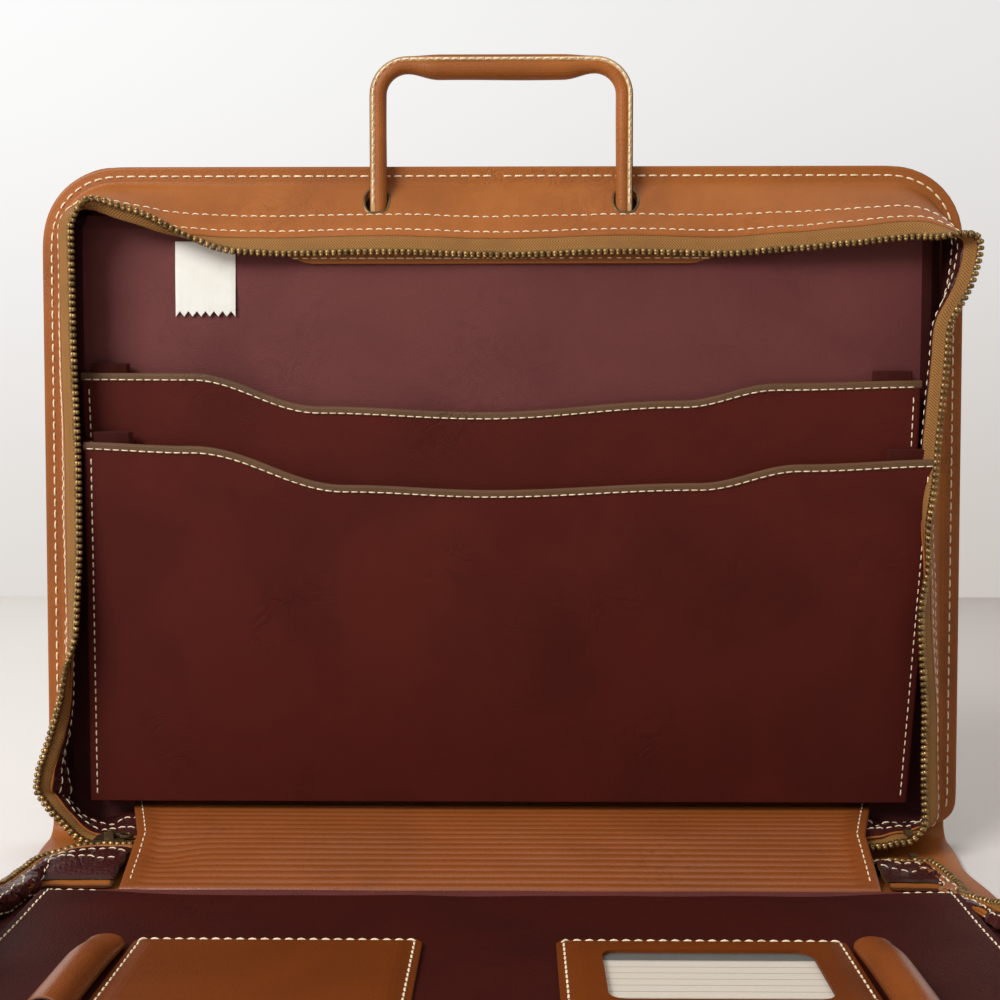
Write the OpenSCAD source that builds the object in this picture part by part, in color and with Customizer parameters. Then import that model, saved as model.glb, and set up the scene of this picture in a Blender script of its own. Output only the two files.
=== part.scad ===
// Zip-around leather briefcase, opened: one half stands up, the other lies flat.
// Each half is drawn lying down, with x across, y up the panel from its fold and z into the case.

/* [Case] */
// Width of each half
case_w = 406; // [360:2:450]
// Height of each half, from its fold to its top edge
case_h = 299; // [285:1:340]
// Width of the spine between the two folds
spine_w = 84; // [80:1:100]
// Radius of the two top corners
corner_r = 32; // [26:1:44]
// Width of the stitched border outside the wall
border_w = 8; // [6:0.5:10]
// How far the sides are drawn in where the lying half meets the spine
waist = 9; // [4:1:14]

/* [Leather and linings] */
// Thickness of the outer cover
shell_t = 2.4; // [2:0.1:3]
// Thickness of the wall's leather
wall_t = 1.6; // [1.2:0.1:2]
// Thickness of the wall's lining
wall_lining_t = 0.8; // [0.6:0.1:1]
// Thickness of the stiffening board
board_t = 1.6; // [1.2:0.1:2]
// Thickness of the burgundy lining
lining_t = 1; // [0.8:0.1:1.4]
// Thickness of the pockets' leather
pocket_t = 1.4; // [1.2:0.1:1.8]
// Thickness of the tan patches sewn on
patch_t = 1.2; // [1:0.1:1.6]
// Gap between sewn layers
seam_gap = 0.1; // [0.05:0.05:0.2]

/* [Zip] */
// Width of the bare zip tape
tape_w = 6.6; // [5:0.2:8]
// Thickness of the zip tape
tape_t = 0.8; // [0.6:0.1:1]
// Length of a tooth, from the tape to its tip
tooth_l = 2.4; // [2:0.1:3]
// Thickness of a tooth across the tape
tooth_t = 2.6; // [2:0.1:3]
// Distance from one tooth to the next
tooth_pitch = 3.07; // [2.9:0.01:3.6]
// Gap that each half keeps from the closed case's middle
mid_gap = 0.3; // [0.2:0.05:0.6]
// Length of the slider
slider_l = 13; // [11:0.5:16]
// Width of the slider
slider_w = 10; // [9:0.5:12]
// Length of the pull tab
pull_l = 10; // [8.5:0.5:12]
// How far the slider runs along the open chains
slider_travel = 4; // [2:0.5:5]

/* [Handles] */
// Spacing of the handle's two legs
leg_spacing = 105; // [90:1:120]
// Radius of the legs
leg_r = 3.75; // [3:0.25:4.25]
// Radius of the grip
grip_r = 5.2; // [4.75:0.1:5.6]
// Rise of the grip's top above the holes
handle_rise = 64; // [58:1:75]
// Radius of the handle's bends, at its middle line
bend_r = 12; // [9:1:14]
// Distance from the cover's inner face to the handle's middle line
leg_z = 7.2; // [7:0.1:7.6]

/* [Pockets] */
// Height of the rear pocket at its ends
rear_pocket_h = 208; // [195:1:215]
// Height of the front pocket at its ends
front_pocket_h = 179; // [165:1:185]
// Dip of a pocket's edge at its middle
pocket_dip = 18; // [10:1:24]
// Distance of the rear pocket's ends inside the cover's edge
rear_inset = 23; // [22:0.5:40]
// Distance of the front pocket's ends inside the cover's edge
front_inset = 26; // [25:0.5:44]
// Height of an edge binding
binding_h = 3.4; // [2.5:0.1:4.5]
// Height of the document pocket's edge
document_h = 185; // [175:1:195]
// Distance of the document pocket's ends inside the cover's edge
document_inset = 32; // [29:0.5:40]
// Width of the card pocket and of the window pocket
card_pocket_w = 97; // [90:1:100]
// Height of the card pocket and of the window pocket
card_pocket_h = 72; // [64:1:78]
// Outer radius of a pen sleeve
sleeve_r = 6.5; // [6:0.1:6.8]

/* [Hidden] */
$fn = 32;
TAN = [0.70, 0.38, 0.18];
BURGUNDY = [0.29, 0.11, 0.11];
OLIVE = [0.37, 0.25, 0.16];
WEBBING = [0.62, 0.45, 0.20];
BRASS = [0.55, 0.45, 0.25];
STEEL = [0.45, 0.44, 0.42];
BOARD = [0.55, 0.48, 0.38];
PAPER = [0.90, 0.88, 0.80];

// Clearance round each fold's axis
fold_gap = 0.3;
axis_z = shell_t / 2;
// Height at which a half's own parts start above its fold's axis
start_h = shell_t / 2 + fold_gap;

// The wall's crease runs inside the border
base_x = case_w / 2 - border_w;
base_r = corner_r - border_w;
arc_x = case_w / 2 - corner_r;
arc_y = case_h - corner_r;
wall_start_y = 3;
// Widths of the wall strip, from its crease to the tips of the teeth
strip_w = spine_w / 2 - shell_t / 2 - mid_gap - wall_t;
wall_w = strip_w - tape_w - tooth_l - 3 * seam_gap;
tape_v = wall_w + seam_gap;
tooth_v = tape_v + tape_w + seam_gap;

// Path round a half, in five legs: 0 to 1 up the left side, 1 to 2 round the corner,
// 2 to 3 across the top, 3 to 4 round the corner, 4 to 5 down the right side
side_l = arc_y - wall_start_y;
arc_l = base_r * PI / 2;
top_l = 2 * arc_x;
path_l = 2 * side_l + 2 * arc_l + top_l;
side_steps = 12;
arc_steps = 6;
top_steps = 20;
PATH = concat(
    [for (i = [0 : side_steps - 1]) i / side_steps],
    [for (i = [0 : arc_steps - 1]) 1 + i / arc_steps],
    [for (i = [0 : top_steps - 1]) 2 + i / top_steps],
    [for (i = [0 : arc_steps - 1]) 3 + i / arc_steps],
    [for (i = [0 : side_steps]) 4 + i / side_steps]);

// Droop of the top wall at its middle, in degrees
droop = 53;
// Lean of the wall into the case along its path: [place on the path, degrees]
BACK_LEAN = [[0, 1], [0.1, 3], [0.24, 22], [0.92, 22], [1.5, 13], [2, 14], [2.13, 43],
    [2.25, droop], [2.75, droop], [2.86, 45], [3, 25], [3.5, 10], [4, -6], [4.13, 14],
    [4.4, 19], [5, 20]];
FRONT_LEAN = [[0, 25], [0.3, 22], [0.9, 20], [1.5, 12], [2, 20], [2.13, 43], [2.25, droop],
    [2.75, droop], [2.87, 43], [3, 20], [3.5, 12], [4.1, 20], [4.7, 22], [5, 25]];
// Place on the path where the standing half's wall stands at its full width
back_full = 0.11;
// Share of the strip's width that stands at each place on the path
BACK_SPREAD = [[0, 0.12], [back_full, 1], [4.97, 1], [5, 0.8]];
FRONT_SPREAD = [[0, 0.08], [0.1, 0.24], [0.4, 1], [4.6, 1], [4.9, 0.24], [5, 0.08]];

function ease(a) = (1 - cos(180 * a)) / 2;
function mix(a, b, k) = a + (b - a) * k;
// Value of a list of [place, value] pairs at a place, eased from one pair to the next
function keyed(list, t) =
    let (i = max([for (k = [0 : len(list) - 2]) if (list[k][0] <= t) k]),
         a = (t - list[i][0]) / (list[i + 1][0] - list[i][0]))
    mix(list[i][1], list[i + 1][1], ease(min(a, 1)));
// How far the sides are drawn in at a height, on a half with the waist pull
waist_reach = 130;
function drawn_in(y, pull) = pull * (1 - ease(min(y / waist_reach, 1)));
function side_x(y, pull) = base_x - drawn_in(y, pull);
// The crease at a place on the path: [x, y, outward x, outward y]
function crease(t, pull) =
    t < 1 ? let (y = wall_start_y + side_l * t) [-side_x(y, pull), y, -1, 0] :
    t < 2 ? let (a = 180 - 90 * (t - 1))
        [-arc_x + base_r * cos(a), arc_y + base_r * sin(a), cos(a), sin(a)] :
    t < 3 ? [mix(-arc_x, arc_x, t - 2), arc_y + base_r, 0, 1] :
    t < 4 ? let (a = 90 - 90 * (t - 3))
        [arc_x + base_r * cos(a), arc_y + base_r * sin(a), cos(a), sin(a)] :
    let (y = wall_start_y + side_l * (5 - t)) [side_x(y, pull), y, 1, 0];
// A point of the wall strip: v along it from the crease, off outward from its outer face
function strip_point(t, v, off, lean, spread, pull) =
    let (c = crease(t, pull), a = keyed(lean, t), w = v * keyed(spread, t),
         out = off * cos(a) - w * sin(a))
    [c[0] + c[2] * out, c[1] + c[3] * out, wall_t + w * cos(a) + off * sin(a)];
// A point of the border, at a distance outside the crease
function border_point(t, out, z, pull) =
    let (c = crease(t, pull)) [c[0] + c[2] * out, c[1] + c[3] * out, z];
// Where the wall's inner face meets the cover
function root_in(t, lean) =
    let (a = keyed(lean, t)) wall_t * (1 - sin(a)) * tan(a) - wall_t * cos(a);
// A point of the strip as its straight-sided facets have it, between two stations
function facet_point(t, v, off, lean, spread, pull) =
    let (i = max([for (k = [0 : len(PATH) - 2]) if (PATH[k] <= t) k]),
         k = (t - PATH[i]) / (PATH[i + 1] - PATH[i]))
    mix(strip_point(PATH[i], v, off, lean, spread, pull),
        strip_point(PATH[i + 1], v, off, lean, spread, pull), k);
function path_place(d) =
    d < side_l ? d / side_l :
    d < side_l + arc_l ? 1 + (d - side_l) / arc_l :
    d < side_l + arc_l + top_l ? 2 + (d - side_l - arc_l) / top_l :
    d < side_l + 2 * arc_l + top_l ? 3 + (d - side_l - arc_l - top_l) / arc_l :
    4 + (d - side_l - 2 * arc_l - top_l) / side_l;

function quad(a, b, c, d) = [[a, b, c], [a, c, d]];

// Closed sheet between two grids of points of one size
module sheet(outer, inner) {
    rows = len(outer);
    cols = len(outer[0]);
    n = rows * cols;
    last = rows - 1;
    edge = cols - 1;
    function at(i, j) = i * cols + j;
    points = [for (grid = [outer, inner]) for (row = grid) each row];
    faces = concat(
        [for (i = [0 : last - 1], j = [0 : edge - 1])
            each quad(at(i, j), at(i, j + 1), at(i + 1, j + 1), at(i + 1, j))],
        [for (i = [0 : last - 1], j = [0 : edge - 1])
            each quad(n + at(i, j), n + at(i + 1, j), n + at(i + 1, j + 1), n + at(i, j + 1))],
        [for (i = [0 : last - 1])
            each quad(at(i, 0), at(i + 1, 0), n + at(i + 1, 0), n + at(i, 0))],
        [for (i = [0 : last - 1])
            each quad(at(i + 1, edge), at(i, edge), n + at(i, edge), n + at(i + 1, edge))],
        [for (j = [0 : edge - 1])
            each quad(at(0, j + 1), at(0, j), n + at(0, j), n + at(0, j + 1))],
        [for (j = [0 : edge - 1])
            each quad(at(last, j), at(last, j + 1), n + at(last, j + 1), n + at(last, j))]);
    polyhedron(points = points, faces = faces, convexity = 10);
}

// Row of teeth: each frame is [middle of the tooth's root, way out, along, across]
module tooth_row(frames) {
    width = tooth_pitch * 0.55;
    corners = [for (f = frames) for (s = [-0.5, 0.5]) each [
        f[0] + f[2] * s * width - f[3] * tooth_t / 2,
        f[0] + f[2] * s * width + f[3] * tooth_t / 2,
        f[0] + f[2] * s * width + f[1] * tooth_l]];
    faces = [for (i = [0 : len(frames) - 1]) each [for (f = [[0, 1, 2], [5, 4, 3],
        [0, 3, 4], [0, 4, 1], [1, 4, 5], [1, 5, 2], [2, 5, 3], [2, 3, 0]]) f + [6, 6, 6] * i]];
    polyhedron(points = corners, faces = faces, convexity = 10);
}

// The standing half and the lying half, each from its own flat drawing
module stand() { translate([0, 0, axis_z]) rotate([90, 0, 0]) translate([0, 0, axis_z]) children(); }
module lie() { translate([0, -spine_w, shell_t]) rotate([0, 0, 180]) children(); }

// The whole case is set with the middle of its box over the origin
hole_y = case_h - border_w - leg_z * tan(droop);
grip_y = hole_y + handle_rise - grip_r;
depth_front = spine_w + grip_y + grip_r;
module placed() { translate([0, (depth_front - axis_z) / 2, 0]) children(); }

// Outline of a half's cover, with its rounded top corners and its waist
function cover_side(pull) =
    let (steps = 5)
    [for (y = [for (i = [0 : steps]) mix(start_h, waist_reach, i / steps), arc_y])
        [side_x(y, pull) + border_w, y]];
module cover_outline(pull) {
    difference() {
        polygon(concat(cover_side(pull), [[case_w / 2, case_h], [-case_w / 2, case_h]],
            [for (i = [len(cover_side(pull)) - 1 : -1 : 0])
                [-cover_side(pull)[i][0], cover_side(pull)[i][1]]]));
        for (side = [-1, 1])
            difference() {
                translate([side * (case_w / 2 - corner_r / 2 + 1), case_h - corner_r / 2 + 1])
                    square(corner_r + 2, center = true);
                translate([side * arc_x, arc_y]) circle(corner_r, $fn = 64);
            }
    }
}
module half_cover(pull) {
    color(TAN) translate([0, 0, -shell_t]) linear_extrude(shell_t) cover_outline(pull);
}

// Stiffening board, inside the border
board_inset = border_w + wall_t + 2.4;
board_bottom = 6;
module half_board(pull) {
    half = case_w / 2 - board_inset;
    low = half - pull;
    r = corner_r - board_inset + 2;
    color(BOARD) translate([0, 0, seam_gap]) linear_extrude(board_t)
        difference() {
            polygon([[-low, board_bottom], [low, board_bottom], [half, waist_reach],
                [half, case_h - board_inset], [-half, case_h - board_inset],
                [-half, waist_reach]]);
            for (side = [-1, 1])
                translate([side * (half - r / 2 + 1), case_h - board_inset - r / 2 + 1])
                    difference() {
                        square(r + 2, center = true);
                        translate([-side * (r / 2 + 1), -r / 2 - 1]) circle(r);
                    }
        }
}

// The handle slides down until its bends meet the eyelets; a collar on the lower end of
// each leg stops it at the wall on the way up
lining_gap = 0.2;
eyelet_t = 0.8;
stop_r = leg_r + 1.2;
stop_h = 8;
wall_top_y = hole_y + wall_t * tan(droop);
bend_y = grip_y - bend_r;
handle_travel = bend_y - wall_top_y - leg_r * tan(droop) - (eyelet_t + seam_gap) / cos(droop);
leg_end_y = wall_top_y - stop_r * tan(droop)
    - (wall_t + lining_gap + wall_lining_t) / cos(droop) - 0.3;

// Burgundy lining, standing off the board at the top to leave room for the handle
handle_room = leg_z + stop_r + 1.1;
lining_bottom_z = board_t + 2 * seam_gap + 0.1;
lining_bottom_y = 14;
lining_bend_y = leg_end_y - stop_h - handle_travel - 4;
lining_top_y = case_h - border_w - handle_room * tan(droop) - 6;
lining_half_w = case_w / 2 - 21;
function lining_z(y) =
    y > lining_bend_y ? handle_room :
    mix(lining_bottom_z, handle_room,
        (y - lining_bottom_y) / (lining_bend_y - lining_bottom_y));
// A bent sheet with the profile [[y, z], ...] of its lower face, across the width
module bent_sheet(profile, thick, half_w) {
    upper = [for (i = [len(profile) - 1 : -1 : 0]) profile[i] + [0, thick]];
    translate([half_w, 0, 0]) rotate([90, 0, -90]) linear_extrude(2 * half_w)
        mirror([1, 0]) polygon(concat(profile, upper));
}
// foot holds the profile's points below the bend; the lying half's lining lies flat under
// its pocket and rises behind it
lining_foot = [lining_bottom_y, lining_bottom_z];
module half_lining(foot, half_w) {
    color(BURGUNDY)
        bent_sheet(concat(foot, [[lining_bend_y, handle_room], [lining_top_y, handle_room]]),
            lining_t, half_w);
}

// Slot in the wall for a handle's leg, longer on the outer side
slot_r = leg_r + 0.6;
slot_out = 4;
module leg_slot(side) {
    for (x = [leg_spacing / 2, leg_spacing / 2 + slot_out])
        translate([side * x, hole_y - 30, leg_z]) rotate([-90, 0, 0])
            cylinder(r = slot_r, h = 60);
    translate([side * (leg_spacing + slot_out) / 2, hole_y, leg_z])
        cube([slot_out, 60, 2 * slot_r], center = true);
}

// Wall strip with its stitched border and its two slots; the lining has the wall's facets
lining_root = 5;
edge_inset = 0.2;
module half_wall(lean, spread, pull) {
    color(TAN) difference() {
        sheet(
            [for (t = PATH) [border_point(t, border_w - edge_inset, wall_t, pull),
                strip_point(t, 0, 0, lean, spread, pull),
                strip_point(t, lining_root, 0, lean, spread, pull),
                strip_point(t, wall_w, 0, lean, spread, pull)]],
            [for (t = PATH) [border_point(t, border_w - edge_inset, 0, pull),
                border_point(t, root_in(t, lean), 0, pull),
                strip_point(t, lining_root, -wall_t, lean, spread, pull),
                strip_point(t, wall_w, -wall_t, lean, spread, pull)]]);
        for (side = [-1, 1]) leg_slot(side);
    }
}
module half_wall_lining(lean, spread, pull) {
    color(BURGUNDY) difference() {
        sheet(
            [for (t = PATH) [for (v = [lining_root, wall_w])
                strip_point(t, v, -wall_t - lining_gap, lean, spread, pull)]],
            [for (t = PATH) [for (v = [lining_root, wall_w])
                strip_point(t, v, -wall_t - lining_gap - wall_lining_t, lean, spread, pull)]]);
        for (side = [-1, 1]) leg_slot(side);
    }
}
tape_off = -(wall_t - tape_t) / 2;
module half_tape(lean, spread, pull) {
    color(WEBBING) sheet(
        [for (t = PATH) [for (v = [tape_v, tape_v + tape_w])
            strip_point(t, v, tape_off, lean, spread, pull)]],
        [for (t = PATH) [for (v = [tape_v, tape_v + tape_w])
            strip_point(t, v, tape_off - tape_t, lean, spread, pull)]]);
}

// Zip teeth along a half's strip, the first at a distance from the path's start
function unit(v) = v / norm(v);
module half_teeth(lean, spread, pull, first) {
    count = floor((path_l - first - tooth_pitch / 2) / tooth_pitch);
    color(BRASS) tooth_row([for (i = [0 : count - 1])
        let (d = first + i * tooth_pitch, t = path_place(d), mid_off = -wall_t / 2,
             root = facet_point(t, tooth_v, mid_off, lean, spread, pull),
             along = unit(facet_point(path_place(d + 0.5), tooth_v, mid_off, lean, spread, pull)
                 - facet_point(path_place(d - 0.5), tooth_v, mid_off, lean, spread, pull)),
             out = unit(root - facet_point(t, tooth_v - tape_w, mid_off, lean, spread, pull)))
        [root, out, along, unit(cross(along, out))]]);
}

// Oblong metal eyelet round each slot, on the wall's outer face
eyelet_rim = 2;
eyelet_slope = slot_r / cos(droop);
module half_eyelets() {
    v = (leg_z - wall_t) / cos(droop) - eyelet_slope - eyelet_rim;
    color(STEEL) for (side = [-1, 1])
        difference() {
            translate([side * (leg_spacing + slot_out) / 2, case_h - border_w, wall_t])
                rotate([90 + droop, 0, 0]) translate([0, v, -eyelet_t - seam_gap])
                    rounded_plate(2 * slot_r + slot_out + 2 * eyelet_rim,
                        2 * eyelet_slope + 2 * eyelet_rim, slot_r + eyelet_rim, eyelet_t);
            leg_slot(side);
        }
}

// Rolled handle: legs, two bends and a thicker grip, as one round bar of the radii given
taper_l = 12;
module handle_bar(r_leg, r_grip, low_y) {
    bend_x = leg_spacing / 2 - bend_r;
    for (side = [-1, 1]) {
        translate([side * leg_spacing / 2, low_y, leg_z]) rotate([-90, 0, 0])
            cylinder(r = r_leg, h = bend_y - low_y);
        translate([side * bend_x, bend_y, leg_z]) rotate([0, 0, side > 0 ? 0 : 90])
            rotate_extrude(angle = 90) translate([bend_r, 0]) circle(r_leg);
        translate([side * bend_x, grip_y, leg_z]) rotate([0, -90 * side, 0])
            cylinder(r1 = r_leg, r2 = r_grip, h = taper_l);
    }
    translate([-bend_x + taper_l, grip_y, leg_z]) rotate([0, 90, 0])
        cylinder(r = r_grip, h = 2 * (bend_x - taper_l));
}
core_r = 1.6;
core_gap = 0.1;
module half_handle() {
    bore = core_r + core_gap;
    color(TAN) difference() {
        handle_bar(leg_r, grip_r, leg_end_y);
        handle_bar(bore, bore, leg_end_y - 1);
    }
}
module half_handle_core() {
    color(STEEL) handle_bar(core_r, core_r, leg_end_y);
}
module half_handle_stops() {
    color(STEEL) for (side = [-1, 1])
        translate([side * leg_spacing / 2, leg_end_y - stop_h - seam_gap, leg_z])
            rotate([-90, 0, 0]) cylinder(r = stop_r, h = stop_h);
}

// Scalloped edge: level ends, an easy S on each side and a long dip in the middle
scallop_steps = 12;
scallop_in = 50;
scallop_out = 130;
function scallop_y(x, end_y) =
    end_y - pocket_dip * ease(min(max((scallop_out - abs(x)) / (scallop_out - scallop_in), 0), 1));
function scallop(half_w, end_y) = concat(
    [[-half_w, end_y]],
    [for (i = [0 : scallop_steps])
        let (x = mix(-scallop_out, -scallop_in, i / scallop_steps)) [x, scallop_y(x, end_y)]],
    [for (i = [0 : scallop_steps])
        let (x = mix(scallop_in, scallop_out, i / scallop_steps)) [x, scallop_y(x, end_y)]],
    [[half_w, end_y]]);
function flipped(list) = [for (i = [len(list) - 1 : -1 : 0]) list[i]];
function moved(list, y) = [for (p = list) p + [0, y]];
// Stands a pocket's flat drawing up at its own slope: z at its foot, z at its top
module sloped(foot_y, foot_z, top_y, top_z) {
    translate([0, foot_y, foot_z]) rotate([atan2(top_z - foot_z, top_y - foot_y), 0, 0])
        translate([0, -foot_y, 0]) children();
}
pocket_foot_y = 21;
pocket_room = 6;
rear_foot_z = lining_z(pocket_foot_y) + lining_t + pocket_room;
rear_top_z = handle_room + lining_t + pocket_room + 0.9;
front_foot_z = rear_foot_z + pocket_t + pocket_room;
front_top_z = rear_top_z + pocket_t + pocket_room + 0.9;
binding_t = pocket_t + 1;
rear_half_w = case_w / 2 - rear_inset;
front_half_w = case_w / 2 - front_inset;
module on_rear() { sloped(pocket_foot_y, rear_foot_z, rear_pocket_h, rear_top_z) children(); }
module on_front() { sloped(pocket_foot_y, front_foot_z, front_pocket_h, front_top_z) children(); }
foot_inset = 4;
module pocket_panel(half_w, end_y) {
    top = end_y - binding_h - seam_gap;
    color(BURGUNDY) linear_extrude(pocket_t)
        polygon(concat([[half_w - foot_inset, pocket_foot_y], [-half_w + foot_inset, pocket_foot_y]],
            scallop(half_w, top)));
}
module pocket_binding(half_w, end_y) {
    color(OLIVE) translate([0, 0, -(binding_t - pocket_t) / 2]) linear_extrude(binding_t)
        polygon(concat(scallop(half_w, end_y), flipped(scallop(half_w, end_y - binding_h))));
}
// Folded gusset at one end of a pocket: a leather V whose fold points into the pocket
gusset_t = 0.9;
gusset_fold = 16;
gusset_rise = 4;
module pocket_gusset(side, half_w, end_y) {
    deep = pocket_room - 1.1;
    outer = half_w - foot_inset - 0.5;
    inner = outer - gusset_fold;
    color(BURGUNDY) translate([0, pocket_foot_y, -(binding_t - pocket_t) / 2 - seam_gap])
        rotate([-90, 0, 0]) linear_extrude(end_y + gusset_rise - pocket_foot_y)
            polygon([[side * outer, 0], [side * inner, deep / 2 - gusset_t / 2],
                [side * inner, deep / 2 + gusset_t / 2], [side * outer, deep],
                [side * outer, deep - gusset_t], [side * (inner + 4), deep / 2],
                [side * outer, gusset_t]]);
}

// Tan lip strip under the top wall, with its ends cut back
lip_half_w = leg_spacing / 2 + 38.5;
lip_y = lining_top_y - 14;
lip_h = 12;
module lip_strip() {
    color(TAN) translate([0, 0, handle_room + lining_t + seam_gap]) linear_extrude(patch_t)
        polygon([[-lip_half_w, lip_y + lip_h], [lip_half_w, lip_y + lip_h], [lip_half_w, lip_y + 3],
            [lip_half_w - 10, lip_y], [-lip_half_w + 10, lip_y], [-lip_half_w, lip_y + 3]]);
}
// Bare fabric label with a pinked lower edge
label_w = 26;
label_h = 31;
label_x = -lining_half_w + 54.5;
label_points = 6;
pink_h = 1.8;
module fabric_label() {
    top = lining_top_y - 3;
    color(PAPER) translate([label_x, top, handle_room + lining_t + seam_gap])
        linear_extrude(0.4)
            polygon(concat([[label_w / 2, 0], [-label_w / 2, 0]],
                [for (i = [0 : 2 * label_points])
                    [mix(-label_w / 2, label_w / 2, i / (2 * label_points)),
                     -label_h + (i % 2 == 0 ? 0 : pink_h)]]));
}

// Document pocket of the lying half, with mitred lower corners
document_half_w = case_w / 2 - document_inset;
document_foot_y = lining_bottom_y + 1;
document_knee_y = 30;
document_room = 4.4;
document_swell = 0.6;
document_foot_z = lining_bottom_z + lining_t + seam_gap;
document_knee_z = lining_bottom_z + lining_t + document_room;
document_top_z = document_knee_z + document_swell;
document_slope = atan2(document_top_z - document_knee_z, document_h - document_knee_y);
document_mitre = 22;
module document_panel() {
    color(BURGUNDY) intersection() {
        bent_sheet([[document_foot_y, document_foot_z], [document_knee_y, document_knee_z],
            [document_h - binding_h - seam_gap, document_top_z
                - (binding_h + seam_gap) * tan(document_slope)]], pocket_t, document_half_w);
        linear_extrude(60)
            polygon([[-document_half_w + document_mitre, 0], [document_half_w - document_mitre, 0],
                [document_half_w, document_mitre], [document_half_w, case_h],
                [-document_half_w, case_h], [-document_half_w, document_mitre]]);
    }
}
module on_document() {
    translate([0, document_knee_y, document_knee_z + pocket_t / cos(document_slope) + seam_gap])
        rotate([document_slope, 0, 0]) children();
}
document_l = (document_h - document_knee_y) / cos(document_slope);
module document_edge() {
    color(OLIVE) on_document()
        translate([-document_half_w, document_l - binding_h, -binding_t])
            cube([2 * document_half_w, binding_h, binding_t]);
}
module document_side_gussets() {
    deep = document_room - 0.5;
    outer = document_half_w - 2;
    inner = outer - gusset_fold;
    color(BURGUNDY) for (side = [-1, 1])
        on_document() translate([0, 0, -pocket_t - 2 * seam_gap]) rotate([-90, 0, 0])
            linear_extrude(document_l - binding_h - 1)
                polygon([[side * outer, 0], [side * inner, deep / 2 - gusset_t / 2],
                    [side * inner, deep / 2 + gusset_t / 2], [side * outer, deep],
                    [side * outer, deep - gusset_t], [side * (inner + 4), deep / 2],
                    [side * outer, gusset_t]]);
}

// What is sewn on the document pocket, in its own plane: u across, v up from the knee
patch_v = 52;
left_sleeve_x = document_half_w - 42;
right_sleeve_x = -document_half_w + 47;
sleeve_gap = 1;
card_pocket_x = left_sleeve_x - sleeve_r - sleeve_gap - card_pocket_w / 2;
window_pocket_x = right_sleeve_x + sleeve_r + sleeve_gap + card_pocket_w / 2;
patch_r = 4;
module rounded_plate(w, h, r, t) {
    linear_extrude(t) {
        translate([-w / 2, r]) square([w, h - 2 * r]);
        translate([-w / 2 + r, 0]) square([w - 2 * r, h]);
        for (x = [-w / 2 + r, w / 2 - r], y = [r, h - r]) translate([x, y]) circle(r);
    }
}
card_slot = 0.9;
card_margin = 4;
module card_pocket_body() {
    color(TAN) on_document() translate([card_pocket_x, patch_v, 0]) difference() {
        rounded_plate(card_pocket_w, card_pocket_h, patch_r, 2 * patch_t + card_slot);
        translate([-card_pocket_w / 2 + card_margin, card_margin, patch_t])
            cube([card_pocket_w - 2 * card_margin, card_pocket_h, card_slot]);
    }
}
// Window pocket: a floor, a slot for the window and the card, and a front with the opening
window_w = 68;
window_h = 42;
window_v = 15;
window_slot = 1.6;
card_t = 0.5;
pane_t = 0.4;
module window_pocket_body() {
    floor_t = patch_t / 2;
    color(TAN) on_document() translate([window_pocket_x, patch_v, 0]) difference() {
        rounded_plate(card_pocket_w, card_pocket_h, patch_r, floor_t + window_slot + patch_t);
        translate([-card_pocket_w / 2 + card_margin, card_margin, floor_t])
            cube([card_pocket_w - 2 * card_margin, card_pocket_h, window_slot]);
        translate([0, window_v, floor_t + window_slot / 2])
            rounded_plate(window_w, window_h, patch_r, patch_t + window_slot);
    }
}
slot_w = card_pocket_w - 2 * card_margin - 1;
slot_top = card_pocket_h - card_margin - 2;
module window_pane() {
    color([0.85, 0.87, 0.85, 0.5]) on_document()
        translate([window_pocket_x - slot_w / 2, patch_v + card_margin + 0.3,
            patch_t / 2 + window_slot - pane_t - seam_gap])
            cube([slot_w, slot_top, pane_t]);
}
module window_card() {
    color(PAPER) on_document()
        translate([window_pocket_x - slot_w / 2 + 1, patch_v + card_margin + 0.3,
            patch_t / 2 + 0.2])
            cube([slot_w - 2, slot_top - 1, card_t]);
}
// Pen sleeve: a tube with a flat back, open at the top
sleeve_wall = 1.1;
sleeve_l = 78;
sleeve_sink = 1.3;
module pen_sleeve(x) {
    r = sleeve_r - sleeve_wall;
    color(TAN) on_document() translate([x, patch_v - 3, sleeve_r - sleeve_sink]) difference() {
        rotate([-90, 0, 0]) union() {
            cylinder(r1 = sleeve_r - 1.4, r2 = sleeve_r, h = 3);
            translate([0, 0, 3]) cylinder(r = sleeve_r, h = sleeve_l - 3);
        }
        translate([0, 2.5, sleeve_sink / 2 - 0.3]) rotate([-90, 0, 0])
            cylinder(r = r - sleeve_sink / 2, h = sleeve_l);
        translate([-sleeve_r, -1, -sleeve_r - 1]) cube([2 * sleeve_r, sleeve_l + 2, sleeve_sink + 1]);
    }
}

// Spine: the outer strip with a round roll at each fold
module spine_cover() {
    steps = 6;
    side = [for (i = [0 : steps]) let (k = i / steps)
        [case_w / 2 - waist * ease(k), -spine_w * k]];
    color(TAN) placed() {
        linear_extrude(shell_t)
            polygon(concat(side, flipped([for (p = side) [-p[0], p[1]]])));
        translate([0, 0, axis_z]) rotate([0, 90, 0])
            cylinder(r = axis_z, h = case_w, center = true);
        translate([0, -spine_w, axis_z]) rotate([0, 90, 0])
            cylinder(r = axis_z, h = case_w - 2 * waist, center = true);
    }
}
liner_half_back = case_w / 2 - 38;
liner_half_mid = liner_half_back - 11;
liner_half_front = liner_half_mid - 4;
stay_half_w = liner_half_front - 10;
stay_t = 1;
module spine_stay() {
    color(BOARD) placed() translate([-stay_half_w, -spine_w + 26, shell_t + seam_gap])
        cube([2 * stay_half_w, spine_w - 40, stay_t]);
}
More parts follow.
